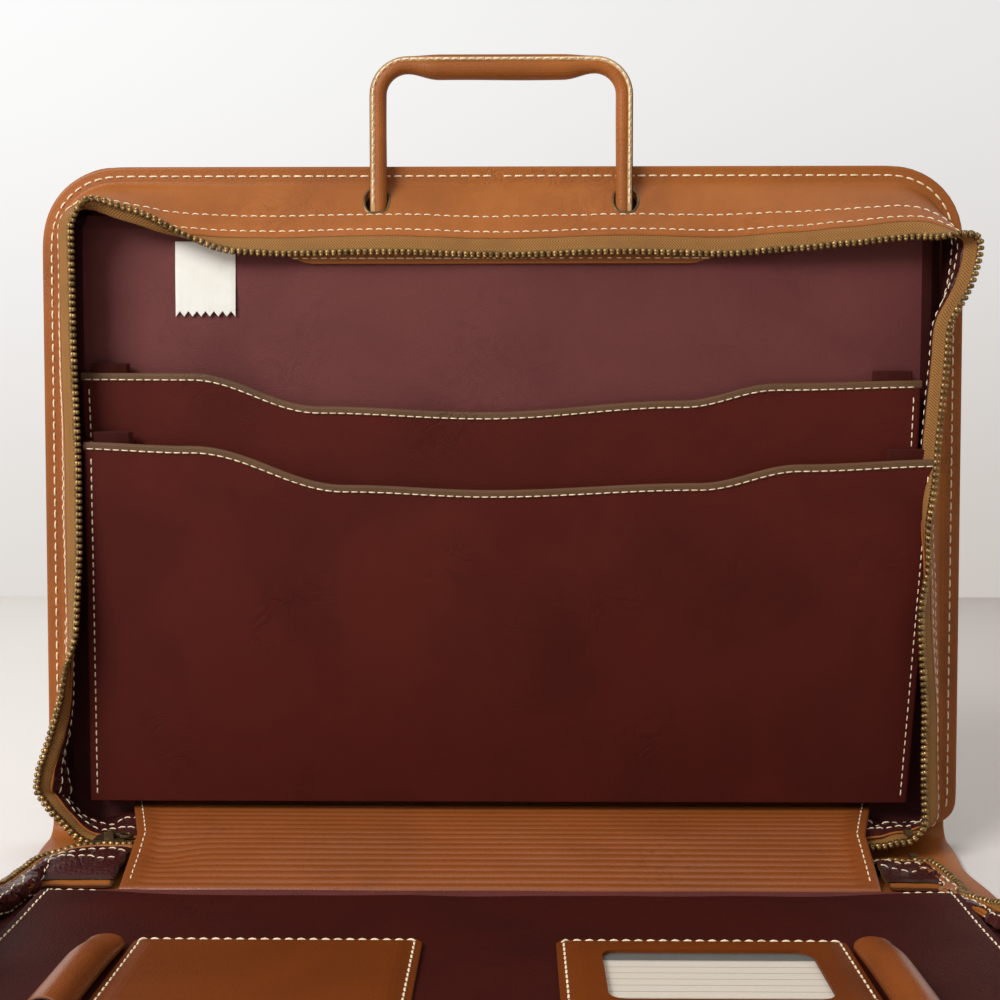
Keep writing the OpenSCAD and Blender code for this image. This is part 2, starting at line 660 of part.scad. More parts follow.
// Ribbed liner: a hump that falls from the standing half to the lying one
liner_back_z = 20;
liner_slope = 0.10;
liner_t = 2.2;
liner_back_y = -lining_z(liner_back_z) - lining_t - axis_z - 0.4;
liner_front_y = -spine_w + axis_z + 0.4;
liner_end_z = shell_t + liner_t + 0.2;
rib_count = 18;
rib_h = 0.9;
liner_run = liner_back_y - liner_front_y;
liner_curve = (liner_back_z - liner_end_z - liner_slope * liner_run) / (liner_run * liner_run);
function liner_z(y) = let (d = liner_back_y - y)
    liner_back_z - liner_slope * d - liner_curve * d * d;
module ribbed_liner() {
    step = liner_run / rib_count;
    top = [for (i = [0 : rib_count - 1]) let (y = liner_back_y - i * step) each
        [[y, liner_z(y) - rib_h], [y - 0.3 * step, liner_z(y - 0.3 * step)],
         [y - 0.7 * step, liner_z(y - 0.7 * step)]]];
    under = [for (i = [0 : 6]) let (y = mix(liner_front_y, liner_back_y, i / 6))
        [y, liner_z(y) - liner_t]];
    color(TAN) placed() intersection() {
        translate([-liner_half_back, 0, 0]) rotate([90, 0, 90])
            linear_extrude(2 * liner_half_back)
                polygon(concat(top, [[liner_front_y, liner_end_z - rib_h]], under));
        linear_extrude(liner_back_z + 1)
            polygon([[-liner_half_back, liner_back_y], [liner_half_back, liner_back_y],
                [liner_half_mid, -spine_w * 0.45], [liner_half_front, liner_front_y],
                [-liner_half_front, liner_front_y], [-liner_half_mid, -spine_w * 0.45]]);
    }
}

// Slider's place, clear of the liner's end
slider_x = -liner_half_mid - pull_l - 0.6;
slider_out_x = -slider_x + slider_l / 2;

// Soft corner strips join the lying half's wall to its returns
corner_z = 3.4;
corner_t = 1.6;
corner_w = 8.6;
left_corner_x = case_w / 2 - waist - 3;
right_corner_x = left_corner_x - 8;

// Short returns of the wall strips onto the spine: each has a root line along its fold
// and a zip line beside the spine's middle, which bends up or down at its outer end
return_in_x = liner_half_mid - 1;
return_t = wall_t + wall_lining_t;
return_steps = 12;
zip_open = 1.5;
zip_mid_y = -spine_w / 2;
zip_edge = tooth_l + mid_gap + zip_open + tape_w + 2 * seam_gap;
zip_z = 11;
low_zip_z = 6;
zip_bend_x = slider_out_x + slider_travel + 0.5;
left_out_x = base_x - wall_t - wall_lining_t - 2.4;
low_out_x = left_corner_x - corner_w - 0.3;
right_out_x = right_corner_x - corner_w - 0.3;
// Each return: side, root y, root z, way from the root to the zip, outer x, x of the zip's
// bend, zip z before the bend and zip z at the outer end
RETURNS = [
    [-1, -5, 17, -1, left_out_x, zip_bend_x, zip_z, 29],
    [1, -5, 17, -1, right_out_x, liner_half_mid, zip_z, zip_z + 3],
    [-1, -spine_w + 3, 6, 1, low_out_x, zip_bend_x, zip_z, 8.3],
    [1, -spine_w + 3, 6, 1, right_out_x, liner_half_mid, low_zip_z, low_zip_z]];
function root_point(r, a) =
    [r[0] * mix(return_in_x, r[4], a), r[1], mix(r[2], min(r[2], shell_t + return_t + 1), a)];
// A point beside the zip, at a distance from the return's edge
function zip_point(r, a, out) =
    let (x = mix(return_in_x, r[4], a), k = max(x - r[5], 0) / (r[4] - r[5]))
    [r[0] * x, zip_mid_y - r[3] * (zip_edge - out), mix(r[6], r[7], ease(k))];
STEPS = [for (i = [0 : return_steps]) i / return_steps];
module two_faced(near, far, thick, turned) {
    top = [for (i = [0 : return_steps]) [near[i], far[i]]];
    low = [for (row = top) [for (p = row) p - [0, 0, thick]]];
    if (turned) sheet(low, top);
    else sheet(top, low);
}
module wall_return(r) {
    color(BURGUNDY) placed() two_faced([for (a = STEPS) root_point(r, a)],
        [for (a = STEPS) zip_point(r, a, 0)], return_t, r[0] * r[3] > 0);
}
tape_drop = [0, 0, (return_t - tape_t) / 2];
module return_tapes() {
    color(WEBBING) placed() for (r = RETURNS)
        two_faced([for (a = STEPS) zip_point(r, a, seam_gap) - tape_drop],
            [for (a = STEPS) zip_point(r, a, seam_gap + tape_w) - tape_drop],
            tape_t, r[0] * r[3] > 0);
}

// Teeth on the left returns, from the slider's inner end outward
module return_teeth() {
    color(BRASS) placed() for (r = [RETURNS[0], RETURNS[2]]) {
        run = r[4] - return_in_x;
        first = slider_out_x - slider_l - return_in_x;
        count = floor((run - first) / tooth_pitch);
        tooth_row([for (i = [0 : count - 1])
            let (a = (first + (i + 0.5) * tooth_pitch) / run, out = [0, r[3], 0],
                 root = zip_point(r, a, tape_w + 2 * seam_gap) - [0, 0, return_t / 2],
                 along = unit(zip_point(r, a + 0.02, 0) - zip_point(r, a - 0.02, 0)))
            [root, out, along, unit(cross(along, out))]]);
    }
}

// Corner strips and their teeth, sloping from the zip line down to the lying half's wall
corner_end_y = -spine_w - wall_start_y + 0.6;
corner_top_y = zip_mid_y - zip_edge + tape_w;
function corner_top_z(r) = r[7] - (return_t + corner_t) / 2;
module corner_strip(r, out_x) {
    color(WEBBING) placed() translate([r[0] * (out_x - corner_w / 2), 0, 0])
        bent_sheet([[corner_end_y, corner_z], [corner_top_y, corner_top_z(r)]],
            corner_t, corner_w / 2);
}
function corner_row(r, out_x) =
    let (x = r[0] * (out_x + seam_gap), lift = corner_t / 2,
         from = [x, corner_end_y, corner_z + lift],
         to = [x, corner_top_y, corner_top_z(r) + lift],
         count = floor(norm(to - from) / tooth_pitch), along = unit(to - from))
    [for (i = [0 : count - 1])
        [from + along * (i + 0.5) * tooth_pitch, [r[0], 0, 0], along,
         unit(cross(along, [r[0], 0, 0]))]];
module corner_teeth() {
    color(BRASS) placed() {
        tooth_row(corner_row(RETURNS[2], left_corner_x));
        tooth_row(corner_row(RETURNS[3], right_corner_x));
    }
}

// Metal end stops on the right ends of the two chains
stop_size = [3, 3.4, 2.4];
stop_place = 0.9;
module end_stops() {
    color(BRASS) placed() for (r = [RETURNS[1], RETURNS[3]])
        translate(zip_point(r, stop_place, tape_w) - tape_drop
            - [stop_size[0] / 2, stop_size[1] / 2, -0.2])
            cube(stop_size);
}

// Slider: two plates and a diamond between them, with a bridge for the pull
plate_t = 1;
plate_gap = 0.2;
slider_h = tooth_t + 2 * (plate_t + plate_gap);
slider_z = zip_z - return_t / 2 - slider_h / 2;
bridge_h = 3;
pin_r = 0.8;
pin_z = slider_h + bridge_h - pin_r - 0.4;
module slider_outline() {
    nose = slider_w * 0.62;
    polygon([[slider_l / 2, -nose / 2], [slider_l / 2, nose / 2], [0, slider_w / 2],
        [-slider_l / 2, slider_w / 2], [-slider_l / 2, -slider_w / 2], [0, -slider_w / 2]]);
}
module at_slider() { placed() translate([slider_x, zip_mid_y, slider_z]) children(); }
post_half_w = 1.2;
post_l = 3;
module zip_slider() {
    color(BRASS) at_slider() {
        for (z = [0, slider_h - plate_t])
            translate([0, 0, z]) linear_extrude(plate_t) slider_outline();
        translate([-slider_l / 2, -post_half_w, 0]) cube([post_l, 2 * post_half_w, slider_h]);
        for (y = [-2.6, 1.2]) translate([-2, y, slider_h - 0.2]) cube([4, 1.4, bridge_h + 0.2]);
        translate([0, -1.3, pin_z]) rotate([-90, 0, 0]) cylinder(r = pin_r, h = 2.6);
    }
}
// Pull tab: a flat tab with an eye round the slider's pin, leaning down onto the slider
pull_w = 6;
pull_t = 1.2;
pull_tilt = 6;
eye_wall = 0.7;
neck_l = 4.8;
neck_w = 1.6;
module zip_pull() {
    color(BRASS) at_slider() translate([0, 0, pin_z]) rotate([0, pull_tilt, 0]) difference() {
        union() {
            rotate([-90, 0, 0]) translate([0, 0, -neck_w / 2])
                cylinder(r = pin_r + eye_wall, h = neck_w);
            translate([0, -neck_w / 2, -pull_t / 2]) cube([neck_l + 0.2, neck_w, pull_t]);
            translate([neck_l, -pull_w / 2, -pull_t / 2])
                cube([pull_l - pull_w / 2 - neck_l, pull_w, pull_t]);
            translate([pull_l - pull_w / 2, 0, -pull_t / 2]) cylinder(r = pull_w / 2, h = pull_t);
        }
        rotate([-90, 0, 0]) translate([0, 0, -2]) cylinder(r = pin_r + 0.15, h = 4);
        translate([pull_l - pull_w / 2, 0, -2]) cylinder(r = 1.6, h = 4);
    }
}

spine_cover();
spine_stay();
ribbed_liner();
wall_return(RETURNS[0]);  // back_return_left
wall_return(RETURNS[1]);  // back_return_right
wall_return(RETURNS[2]);  // front_return_left
wall_return(RETURNS[3]);  // front_return_right
corner_strip(RETURNS[2], left_corner_x);  // corner_left
corner_strip(RETURNS[3], right_corner_x);  // corner_right
return_tapes();
return_teeth();
corner_teeth();
end_stops();
zip_slider();
zip_pull();
placed() stand() half_cover(0);  // back_cover
placed() stand() half_board(0);  // back_board
placed() stand() half_lining([lining_foot], lining_half_w);  // back_lining
placed() stand() half_wall(BACK_LEAN, BACK_SPREAD, 0);  // back_wall
placed() stand() half_wall_lining(BACK_LEAN, BACK_SPREAD, 0);  // back_wall_lining
placed() stand() half_tape(BACK_LEAN, BACK_SPREAD, 0);  // back_tape
placed() stand() half_teeth(BACK_LEAN, BACK_SPREAD, 0, back_full * side_l);  // back_teeth
placed() stand() half_eyelets();  // back_eyelets
placed() stand() on_rear() pocket_panel(rear_half_w, rear_pocket_h);  // rear_pocket
placed() stand() on_rear() pocket_binding(rear_half_w, rear_pocket_h);  // rear_binding
placed() stand() on_rear() pocket_gusset(-1, rear_half_w, rear_pocket_h);  // rear_gusset_left
placed() stand() on_rear() pocket_gusset(1, rear_half_w, rear_pocket_h);  // rear_gusset_right
placed() stand() on_front() pocket_panel(front_half_w, front_pocket_h);  // front_pocket
placed() stand() on_front() pocket_binding(front_half_w, front_pocket_h);  // front_binding
placed() stand() on_front() pocket_gusset(-1, front_half_w, front_pocket_h);  // front_gusset_left
placed() stand() on_front() pocket_gusset(1, front_half_w, front_pocket_h);  // front_gusset_right
placed() stand() lip_strip();  // handle_lip
placed() stand() fabric_label();  // label
placed() stand() half_handle();  // back_handle
placed() stand() half_handle_core();  // back_handle_core
placed() stand() half_handle_stops();  // back_handle_stops
placed() lie() half_cover(waist);  // front_cover
placed() lie() half_board(waist);  // front_board
placed() lie()  // front_lining
        half_lining([lining_foot, [document_h + 3, lining_bottom_z]], lining_half_w - waist);
placed() lie() half_wall(FRONT_LEAN, FRONT_SPREAD, waist);  // front_wall
placed() lie() half_wall_lining(FRONT_LEAN, FRONT_SPREAD, waist);  // front_wall_lining
placed() lie() half_tape(FRONT_LEAN, FRONT_SPREAD, waist);  // front_tape
placed() lie() half_teeth(FRONT_LEAN, FRONT_SPREAD, waist, tooth_pitch / 2);  // front_teeth
placed() lie() half_eyelets();  // front_eyelets
placed() lie() document_panel();  // document_pocket
placed() lie() document_edge();  // document_binding
placed() lie() document_side_gussets();  // document_gussets
placed() lie() card_pocket_body();  // card_pocket
placed() lie() window_pocket_body();  // window_pocket
placed() lie() window_pane();  // window
placed() lie() window_card();  // id_card
placed() lie() pen_sleeve(left_sleeve_x);  // pen_sleeve_left
placed() lie() pen_sleeve(right_sleeve_x);  // pen_sleeve_right
placed() lie() half_handle();  // front_handle
placed() lie() half_handle_core();  // front_handle_core
placed() lie() half_handle_stops();  // front_handle_stops
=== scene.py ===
"""Looks of an open zip-around leather briefcase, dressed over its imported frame."""
import logging
import math
from dataclasses import dataclass, field
from enum import Enum
from typing import Any, Callable, ClassVar, Sequence

import bmesh
import bpy
import numpy as np
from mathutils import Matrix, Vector
from mathutils.bvhtree import BVHTree


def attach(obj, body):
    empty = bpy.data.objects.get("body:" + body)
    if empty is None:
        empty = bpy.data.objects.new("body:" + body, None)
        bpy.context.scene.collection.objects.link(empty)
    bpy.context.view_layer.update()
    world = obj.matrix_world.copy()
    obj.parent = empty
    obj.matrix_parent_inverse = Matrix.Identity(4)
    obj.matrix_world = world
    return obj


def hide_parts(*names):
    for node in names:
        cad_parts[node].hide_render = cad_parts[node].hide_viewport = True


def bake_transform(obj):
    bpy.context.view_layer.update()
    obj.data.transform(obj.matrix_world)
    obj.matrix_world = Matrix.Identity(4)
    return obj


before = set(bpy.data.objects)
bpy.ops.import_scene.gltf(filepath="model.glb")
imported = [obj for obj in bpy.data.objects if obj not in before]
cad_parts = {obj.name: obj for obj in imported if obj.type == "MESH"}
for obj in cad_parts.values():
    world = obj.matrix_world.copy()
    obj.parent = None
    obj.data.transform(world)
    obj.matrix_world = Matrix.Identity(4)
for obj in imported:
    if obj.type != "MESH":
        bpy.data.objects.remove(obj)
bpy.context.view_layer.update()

LOG = logging.getLogger("briefcase")
MM = 0.001
Keys = Sequence[tuple[float, float]]
Colour = tuple[float, float, float]
Height = Callable[[np.ndarray, np.ndarray], np.ndarray]


def ease(a: np.ndarray | float) -> np.ndarray | float:
    """Smooth step from 0 to 1 along a half cosine."""
    return (1 - np.cos(np.pi * np.clip(a, 0, 1))) / 2


def mix(a: Any, b: Any, k: Any) -> Any:
    """Value a share k of the way from a to b."""
    return a + (b - a) * k


def keyed(keys: Keys, place: float) -> float:
    """Value of a list of (place, value) pairs at a place, eased between pairs.

    Args:
        keys: pairs in rising order of place.
        place: where to read the list.

    Returns:
        The eased value.
    """
    for (a, low), (b, high) in zip(keys, keys[1:]):
        if place <= b:
            return float(mix(low, high, ease((place - a) / (b - a))))
    return keys[-1][1]


def unit(vectors: np.ndarray) -> np.ndarray:
    """Vectors brought to length 1 along the last axis."""
    vectors = np.asarray(vectors, float)
    return vectors / np.maximum(np.linalg.norm(vectors, axis=-1, keepdims=True), 1e-9)


def arc_length(points: np.ndarray) -> np.ndarray:
    """Distance along a row of points, from 0 at the first."""
    steps = np.linalg.norm(np.diff(points, axis=0), axis=1)
    return np.concatenate([[0.0], np.cumsum(steps)])


def along(points: np.ndarray) -> np.ndarray:
    """Unit direction along a row of points."""
    return unit(np.gradient(points, axis=0))


def read_at(lengths: np.ndarray, rows: np.ndarray, wanted: np.ndarray) -> np.ndarray:
    """Rows of numbers, read at given distances along them."""
    columns = [np.interp(wanted, lengths, rows[:, k]) for k in range(rows.shape[1])]
    return np.stack(columns, -1)


def points_of(x: Any, y: Any, z: Any) -> np.ndarray:
    """Points from their three parts, each carried over the places of the others."""
    return np.stack(np.broadcast_arrays(x, y, z), -1)


def smoothed(rows: np.ndarray, sigma: float) -> np.ndarray:
    """Rows smoothed by a bell curve that keeps the two ends.

    Args:
        rows: values, one row for each station.
        sigma: width of the bell in stations.

    Returns:
        The smoothed rows.
    """
    reach = int(3 * sigma) + 1
    bell = np.exp(-0.5 * (np.arange(-reach, reach + 1) / sigma) ** 2)
    bell /= bell.sum()
    first = 2 * rows[:1] - rows[reach:0:-1]
    last = 2 * rows[-1:] - rows[-2:-reach - 2:-1]
    padded = np.concatenate([first, rows, last])
    return np.stack([np.convolve(padded[:, k], bell, "valid") for k in range(rows.shape[1])], -1)


@dataclass(frozen=True)
class Ripple:
    """Gentle unevenness of leather, as a sum of seeded waves.

    Attributes:
        height: usual rise in millimetres.
        length: typical length of a wave in millimetres.
        seed: seed of the waves.
    """

    height: float
    length: float
    seed: int

    def at(self, points: np.ndarray) -> np.ndarray:
        """Rise at points given in millimetres."""
        rng = np.random.default_rng(self.seed)
        total = np.zeros(points.shape[:-1])
        waves = 7
        for _ in range(waves):
            way = unit(rng.normal(size=3))
            number = 2 * np.pi / (self.length * rng.uniform(0.6, 1.8))
            total += np.sin(points @ way * number + rng.uniform(0, 2 * np.pi))
        return total * self.height / math.sqrt(waves)


@dataclass(frozen=True)
class Sizes:
    """Named sizes of the case in millimetres."""

    case_w: float = 406.0
    case_h: float = 299.0
    spine_w: float = 84.0
    corner_r: float = 32.0
    border_w: float = 8.0
    waist: float = 9.0
    waist_reach: float = 130.0
    shell_t: float = 2.4
    wall_t: float = 1.6
    wall_lining_t: float = 0.8
    lining_gap: float = 0.2
    board_t: float = 1.6
    lining_t: float = 1.0
    pocket_t: float = 1.4
    patch_t: float = 1.2
    wall_w: float = 29.6
    wall_start_y: float = 3.0
    tape_w: float = 6.6
    tape_t: float = 0.8
    tooth_l: float = 2.4
    tooth_h: float = 2.5
    tooth_w: float = 2.04
    tooth_pitch: float = 2.7
    droop: float = 53.0
    leg_spacing: float = 105.0
    bend_r: float = 12.0
    leg_z: float = 7.2
    slot_out: float = 3.4
    slot_r: float = 3.5
    hole_y: float = 281.45
    grip_y: float = 340.25
    handle_room: float = 13.25
    lining_bottom_y: float = 14.0
    lining_bend_y: float = 222.2
    document_h: float = 185.0
    hinge_y: float = 214.122

    @property
    def axis_z(self) -> float:
        """Height of the fold's axis over the floor."""
        return self.shell_t / 2

    @property
    def base_x(self) -> float:
        """Half width at the wall's crease."""
        return self.case_w / 2 - self.border_w

    @property
    def base_r(self) -> float:
        """Radius of the crease's corners."""
        return self.corner_r - self.border_w

    @property
    def arc_x(self) -> float:
        """Sideways place of the corners' middles."""
        return self.case_w / 2 - self.corner_r

    @property
    def arc_y(self) -> float:
        """Height of the corners' middles."""
        return self.case_h - self.corner_r

    @property
    def side_l(self) -> float:
        """Length of the path's straight side."""
        return self.arc_y - self.wall_start_y

    @property
    def bend_y(self) -> float:
        """Height at which the handle's legs start to bend."""
        return self.grip_y - self.bend_r

    @property
    def lining_low_z(self) -> float:
        """Height of the lining's lower end over the cover."""
        return self.board_t + 0.3

    def lining_z(self, y: float, rise_y: float) -> float:
        """Height of the lining's lower face over the cover, where it rises from rise_y."""
        run = (y - rise_y) / (self.lining_bend_y - rise_y)
        return mix(self.lining_low_z, self.handle_room, float(np.clip(run, 0.0, 1.0)))

    def drawn_in(self, y: float, waist: float) -> float:
        """How far a side is drawn in at a height."""
        return waist * (1 - float(ease(min(y / self.waist_reach, 1))))


S = Sizes()


class Half(Enum):
    """The standing half and the lying half of the case."""

    STANDING = "back"
    LYING = "front"

    @property
    def body(self) -> str:
        """Name of the body that carries this half."""
        return f"{self.value}_half"

    @property
    def waist(self) -> float:
        """How far this half's sides are drawn in at its fold."""
        return 0.0 if self is Half.STANDING else S.waist

    @property
    def lean(self) -> Keys:
        """Lean of the wall along its path, in degrees."""
        if self is Half.STANDING:
            return ((0, 1), (0.1, 4), (0.24, 19), (0.6, 19), (0.92, 16), (1.2, 15), (1.5, 18),
                    (1.8, 23), (2, 29), (2.04, 39), (2.09, 53), (2.15, 58), (2.22, 58.5),
                    (2.3465, 56), (2.5, 60), (2.6535, 56), (2.78, 59), (2.86, 53),
                    (2.93, 47), (3, 41), (3.25, 34), (3.5, 22), (3.75, 8), (4, -1), (4.055, 3),
                    (4.1, 10), (4.15, 23), (4.4, 31), (4.6, 24), (4.8, 18), (5, 16))
        return ((0, 25), (0.3, 22), (0.9, 20), (1.5, 12), (2, 20), (2.13, 43), (2.25, S.droop),
                (2.75, S.droop), (2.87, 43), (3, 20), (3.5, 12), (4.1, 20), (4.7, 22), (5, 25))

    @property
    def slide(self) -> Keys:
        """How far the wall's edge is pushed along its path, in millimetres."""
        return ((2.9, 0), (3.25, 9), (3.5, 12.5), (3.75, 10), (4, 5), (4.16, 0))

    @property
    def tape_lean(self) -> Keys:
        """Lean of the zip tape along its path, in degrees; the tape twists at the corners."""
        return ((0, -75), (0.19, -62), (0.27, -15), (0.36, 45), (0.5, 66), (1.3, 60), (1.65, 25),
                (1.85, -25), (2.0, -65), (2.06, -70), (2.11, 0), (2.16, 55), (2.24, 72),
                (2.8, 75), (3.3, 68), (3.6, 20), (3.85, -45), (4.03, -72), (4.36, -70),
                (4.5, 0), (4.62, 50), (4.9, 66), (5, 55))

    @property
    def spread(self) -> Keys:
        """Share of the wall's width that stands along its path."""
        if self is Half.STANDING:
            return ((0, 0.12), (0.11, 1), (4.97, 1), (5, 0.8))
        return ((0, 0.08), (0.1, 0.18), (0.22, 0.25), (0.5, 1), (4.6, 1), (4.9, 0.24), (5, 0.08))

    def turn(self, vectors: np.ndarray) -> np.ndarray:
        """Directions of the half's flat drawing, turned to the case's frame."""
        v = np.asarray(vectors, float)
        x, y, z = v[..., 0], v[..., 1], v[..., 2]
        if self is Half.STANDING:
            return np.stack([x, -z, y], -1)
        return np.stack([-x, -y, z], -1)

    def place(self, points: np.ndarray) -> np.ndarray:
        """Points of the half's flat drawing, put in the case's frame."""
        if self is Half.STANDING:
            return self.turn(points) + [0, S.hinge_y - S.axis_z, S.axis_z]
        return self.turn(points) + [0, S.hinge_y - S.spine_w, S.shell_t]

    def crease(self, t: float) -> tuple[float, float, float, float]:
        """The wall's crease, where the wall leaves the cover, at a place on its path.

        Args:
            t: place, 0 to 1 up the first side, 1 to 2 round the corner, 2 to 3 across the
                top, 3 to 4 round the corner and 4 to 5 down the second side.

        Returns:
            x, y and the outward direction's x and y.
        """
        if t < 1 or t >= 4:
            side = -1 if t < 1 else 1
            y = S.wall_start_y + S.side_l * (t if t < 1 else 5 - t)
            return side * (S.base_x - S.drawn_in(y, self.waist)), y, side, 0.0
        if 2 <= t < 3:
            return mix(-S.arc_x, S.arc_x, t - 2), S.arc_y + S.base_r, 0.0, 1.0
        angle = math.radians(180 - 90 * (t - 1) if t < 2 else 90 - 90 * (t - 3))
        side = -1 if t < 2 else 1
        c, s = math.cos(angle), math.sin(angle)
        return side * S.arc_x + S.base_r * c, S.arc_y + S.base_r * s, c, s


class Finish(Enum):
    """The finishes of the case; the first ones are named as the record's slots."""

    TAN = "tan_leather"
    BURGUNDY = "burgundy_leather"
    OLIVE = "olive_binding"
    WEBBING = "webbing"
    BOARD = "board"
    LABEL = "label_fabric"
    PAPER = "paper"
    BRASS = "antique_brass"
    BRONZE = "dark_bronze"
    STEEL = "steel"
    FILM = "clear_film"
    THREAD = "thread"
    LINER = "liner_tan"
    PATCH = "patch_tan"
    RAW = "raw_edge"
    DARK = "dark_edge"
    TRAY = "tray_burgundy"
    PANEL = "panel_burgundy"
    GLOSSY = "glossy_burgundy"

    @property
    def slot(self) -> str:
        """The record's material slot that the finish stands for."""
        if self is Finish.THREAD:
            return Finish.WEBBING.value
        if self in (Finish.LINER, Finish.PATCH, Finish.RAW, Finish.DARK):
            return Finish.TAN.value
        if self in (Finish.TRAY, Finish.PANEL, Finish.GLOSSY):
            return Finish.BURGUNDY.value
        return self.value


class Link:
    """A socket of a node tree, on which maths are written as Python expressions."""

    def __init__(self, graph: "Graph", socket: bpy.types.NodeSocket) -> None:
        """Wraps one output socket of a graph."""
        self.graph = graph
        self.socket = socket

    def _maths(self, operation: str, a: Any, b: Any) -> "Link":
        """Adds one Math node."""
        return self.graph.add("ShaderNodeMath", {"operation": operation}, {0: a, 1: b})

    def __add__(self, other: Any) -> "Link":
        """Sum."""
        return self._maths("ADD", self, other)

    __radd__ = __add__

    def __sub__(self, other: Any) -> "Link":
        """Difference."""
        return self._maths("SUBTRACT", self, other)

    def __rsub__(self, other: Any) -> "Link":
        """Difference, reflected."""
        return self._maths("SUBTRACT", other, self)

    def __mul__(self, other: Any) -> "Link":
        """Product."""
        return self._maths("MULTIPLY", self, other)

    __rmul__ = __mul__

    def __truediv__(self, other: Any) -> "Link":
        """Quotient."""
        return self._maths("DIVIDE", self, other)

    def __rtruediv__(self, other: Any) -> "Link":
        """Quotient, reflected."""
        return self._maths("DIVIDE", other, self)

    def __pow__(self, other: Any) -> "Link":
        """Power."""
        return self._maths("POWER", self, other)

    def __gt__(self, other: Any) -> "Link":
        """1 where this is the greater."""
        return self._maths("GREATER_THAN", self, other)

    def __lt__(self, other: Any) -> "Link":
        """1 where this is the smaller."""
        return self._maths("LESS_THAN", self, other)

    def maths(self, operation: str, other: Any = 0.0) -> "Link":
        """Any other Math node, such as a sine or a wrap."""
        return self._maths(operation, self, other)

    def between(self, low: float, high: float) -> "Link":
        """Smooth step from 0 at low to 1 at high."""
        settings = {"interpolation_type": "SMOOTHSTEP"}
        return self.graph.add("ShaderNodeMapRange", settings, {0: self, 1: low, 2: high})


class Graph:
    """A node tree of a material or of Geometry Nodes, built by calls."""

    def __init__(self, tree: bpy.types.NodeTree) -> None:
        """Wraps a node tree."""
        self.tree = tree

    def node(self, kind: str, settings: dict[str, Any] | None = None,
             inputs: dict[Any, Any] | None = None) -> bpy.types.Node:
        """Adds a node.

        Args:
            kind: the node's type.
            settings: its settings, which are set first.
            inputs: values or links of its sockets, by name or number.

        Returns:
            The new node.
        """
        made = self.tree.nodes.new(kind)
        for name, value in (settings or {}).items():
            setattr(made, name, value)
        for key, value in (inputs or {}).items():
            if isinstance(value, Link):
                self.tree.links.new(value.socket, made.inputs[key])
            else:
                made.inputs[key].default_value = value
        return made

    def add(self, kind: str, settings: dict[str, Any] | None = None,
            inputs: dict[Any, Any] | None = None, output: Any = 0) -> Link:
        """Adds a node and gives one of its outputs."""
        return Link(self, self.node(kind, settings, inputs).outputs[output])

    def colours(self, factor: Any, a: Any, b: Any) -> Link:
        """Mix of two colours by a factor."""
        a, b = (c if isinstance(c, Link) else (*c, 1.0) for c in (a, b))
        return self.add("ShaderNodeMix", {"data_type": "RGBA"}, {0: factor, 6: a, 7: b}, 2)

    def place(self, stretch: Sequence[float] = (1, 1, 1)) -> Link:
        """Object coordinates in metres, stretched along the axes."""
        raw = self.add("ShaderNodeTexCoord", output="Object")
        if tuple(stretch) == (1, 1, 1):
            return raw
        return self.add("ShaderNodeVectorMath", {"operation": "MULTIPLY"},
                        {0: raw, 1: tuple(stretch)})

    def noise(self, where: Link, scale: float, detail: float = 2.0,
              distortion: float = 0.0) -> Link:
        """Noise between 0 and 1 at places."""
        inputs = {"Vector": where, "Scale": scale, "Detail": detail, "Distortion": distortion}
        return self.add("ShaderNodeTexNoise", None, inputs)

    def cells(self, where: Link, scale: float) -> Link:
        """Distance to the nearest edge between leather's cells."""
        return self.add("ShaderNodeTexVoronoi", {"feature": "DISTANCE_TO_EDGE"},
                        {"Vector": where, "Scale": scale})

    def attribute(self, name: str) -> Link:
        """A value kept on the mesh."""
        return self.add("ShaderNodeAttribute", {"attribute_name": name}, None, "Fac")

    def vector(self, x: Any = 0.0, y: Any = 0.0, z: Any = 0.0) -> Link:
        """A vector from three values or links."""
        return self.add("ShaderNodeCombineXYZ", None, {0: x, 1: y, 2: z})

    def parts(self, vector: Link) -> list[Link]:
        """The three parts of a vector."""
        return self.links(self.node("ShaderNodeSeparateXYZ", None, {0: vector}))

    def links(self, node: bpy.types.Node) -> list[Link]:
        """A link for each output of a node."""
        return [Link(self, socket) for socket in node.outputs]

    def own_map(self) -> list[Link]:
        """Places on the mesh's own map, in metres."""
        return self.parts(self.add("ShaderNodeTexCoord", output="UV"))

    def joined(self, *shapes: Link) -> Link:
        """Several geometries as one."""
        made = self.node("GeometryNodeJoinGeometry")
        for shape in shapes:
            self.tree.links.new(shape.socket, made.inputs[0])
        return Link(self, made.outputs[0])

    def dress(self, shape: Link, finish: Link) -> None:
        """Ends a tree of Geometry Nodes: a real mesh in a material."""
        solid = self.add("GeometryNodeRealizeInstances", None, {0: shape})
        dressed = self.add("GeometryNodeSetMaterial", None,
                           {"Geometry": solid, "Material": finish})
        self.node("NodeGroupOutput", None, {0: dressed})


@dataclass(frozen=True)
class Surface:
    """What a finish hands to its shader.

    Attributes:
        colour: base colour, or a link to one.
        roughness: roughness, or a link to it.
        height: rise of the surface in metres, or nothing.
        metallic: metallic share.
        constants: other sockets of the shader, all over the surface.
    """

    colour: Any
    roughness: Any
    height: Any = None
    metallic: Any = 0.0
    constants: dict[str, Any] = field(default_factory=dict)


